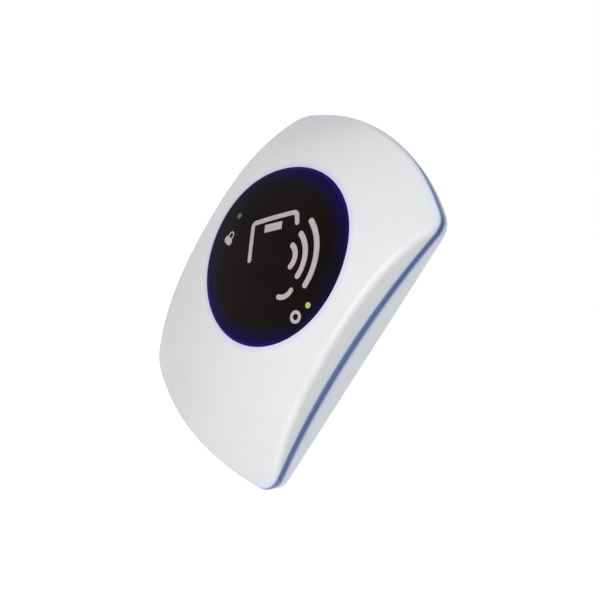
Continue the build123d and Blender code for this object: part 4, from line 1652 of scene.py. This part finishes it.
    def winding(self) -> None:
        """Wind the antenna coil in layers."""
        low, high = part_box("antenna_coil")
        outer = (high.x - low.x) / 2
        rise = (high.y - low.y) - 2 * self.wire
        tree = Growth(Piece("antenna_winding", Body.FRONT, Finish.WINDING, "coil_wire"))
        wire = tree.size("Wire radius", self.wire)
        radii = [outer - self.wire - 2 * self.wire * k for k in range(self.layers)]
        layers = [tree.helix(72, self.turns, radius, rise) for radius in radii]
        end = (0, high.y - self.wire, (low.z + high.z) / 2)
        coil = tree.hang(tree.sweep(tree.join(*layers), 6, wire), end)
        tree.grow(coil, replaces=("antenna_coil",))

    def build(self, nodes: Nodes) -> None:
        """Dress the board's nodes and add what is soldered on.

        Args:
            nodes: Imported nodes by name.
        """
        self.dress(nodes)
        self.winding()
        self.board_screws()
        tracks = Piece("tracks_back", Body.FRONT, Finish.TRACK, "board")
        self.strips(tracks, self.back_tracks, self.track)
        frames = Piece("part_frames", Body.FRONT, Finish.SILK, "led_body")
        self.strips(frames, self.outlines(), self.frame_line)
        self.vias()
        self.small_parts()
        self.solder()
        self.gull_leads("controller_leads", "controller_chip", 10, 0.8, (0, 1, 2, 3))
        self.gull_leads("reader_chip_leads", "reader_chip", 7, 0.8, (1, 3))
        self.gull_leads("regulator_leads", "voltage_regulator", 3, 2.2, (0,))


@dataclass
class Hardware(Assembly):
    """Lock screw, its insert and the tamper plunger."""

    finishes: Finishes = (
        (Finish.STEEL, ("lock_screw",)),
        (Finish.BRASS, ("lock_insert",)),
        (Finish.BLACK, ("tamper_pin",)),
        (Finish.GREY, ("tamper_cage",)),
        (Finish.SPRING, ("tamper_spring",)),
    )
    thread_depth: float = 0.22 * MM
    crest: float = 0.16 * MM
    pitch: float = 0.5 * MM
    tip: float = 0.4 * MM
    tip_share: float = 0.6
    socket: float = 0.65 * MM
    socket_depth: float = 1.6 * MM
    spring_wire: float = 0.125 * MM
    spring_turns: float = 3.0
    press: float = 1.2 * MM

    def build(self, nodes: Nodes) -> None:
        """Dress the hardware, then wind the spring and cut the screw.

        Args:
            nodes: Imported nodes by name.
        """
        self.dress(nodes)
        self.lock_screw()
        self.plunger_spring()

    def plunger_spring(self) -> None:
        """Wind the plunger's spring and give it a mesh of its own."""
        low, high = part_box("tamper_spring")
        centre = (low + high) / 2
        tree = Growth(Piece("plunger_spring", Body.BASE, Finish.SPRING, "spring_steel"))
        wire = tree.size("Wire radius", self.spring_wire)
        reach = tree.size("Coil radius", (high.x - low.x) / 2 - self.spring_wire)
        rise = tree.size("Coil height", high.y - low.y - 2 * self.spring_wire)
        wound = tree.sweep(tree.helix(40, self.spring_turns, reach, rise), 12, wire)
        coil = tree.hang(wound, (centre.x, high.y - self.spring_wire, centre.z))
        made = tree.grow(coil, replaces=("tamper_spring",))
        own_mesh(made)

    def lock_screw(self) -> None:
        """Make the headless lock screw with its thread and hexagon socket."""
        low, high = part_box("lock_screw")
        outer = (high.x - low.x) / 2
        core = outer - self.thread_depth
        shank = high.z - low.z - self.tip
        tree = Growth(Piece("lock_screw_threaded", Body.LOCK, Finish.STEEL, "screw_steel"))
        key = tree.cylinder(6, tree.size("Socket radius", self.socket), 2 * self.socket_depth)
        body = tree.cut("DIFFERENCE", tree.cylinder(36, core, shank, shank / 2), key)
        ends = {"Radius_Top": core * self.tip_share, "Radius_Bottom": core}
        cone = tree.step("GeometryNodeMeshCone", Vertices=36, Depth=self.tip, **ends)
        run = shank - 2 * self.pitch
        turns = run / self.pitch
        thread = tree.thread(outer - self.crest, self.crest, turns, run, self.pitch / 2)
        whole = tree.join(body, tree.move(cone, (0, 0, shank)), thread)
        centre = ((low.x + high.x) / 2, (low.y + high.y) / 2, low.z)
        tree.grow(tree.move(whole, centre), replaces=("lock_screw",))


def main() -> None:
    """Build the reader's looks on its frame."""
    logging.basicConfig(level=logging.INFO, format="%(message)s")
    bpy.ops.wm.read_factory_settings(use_empty=True)
    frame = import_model()
    Studio().build()
    for part in (Housing(), WindowPrint(), Electronics(), Hardware()):
        part.build(frame["nodes"])


if __name__ == "__main__":
    main()
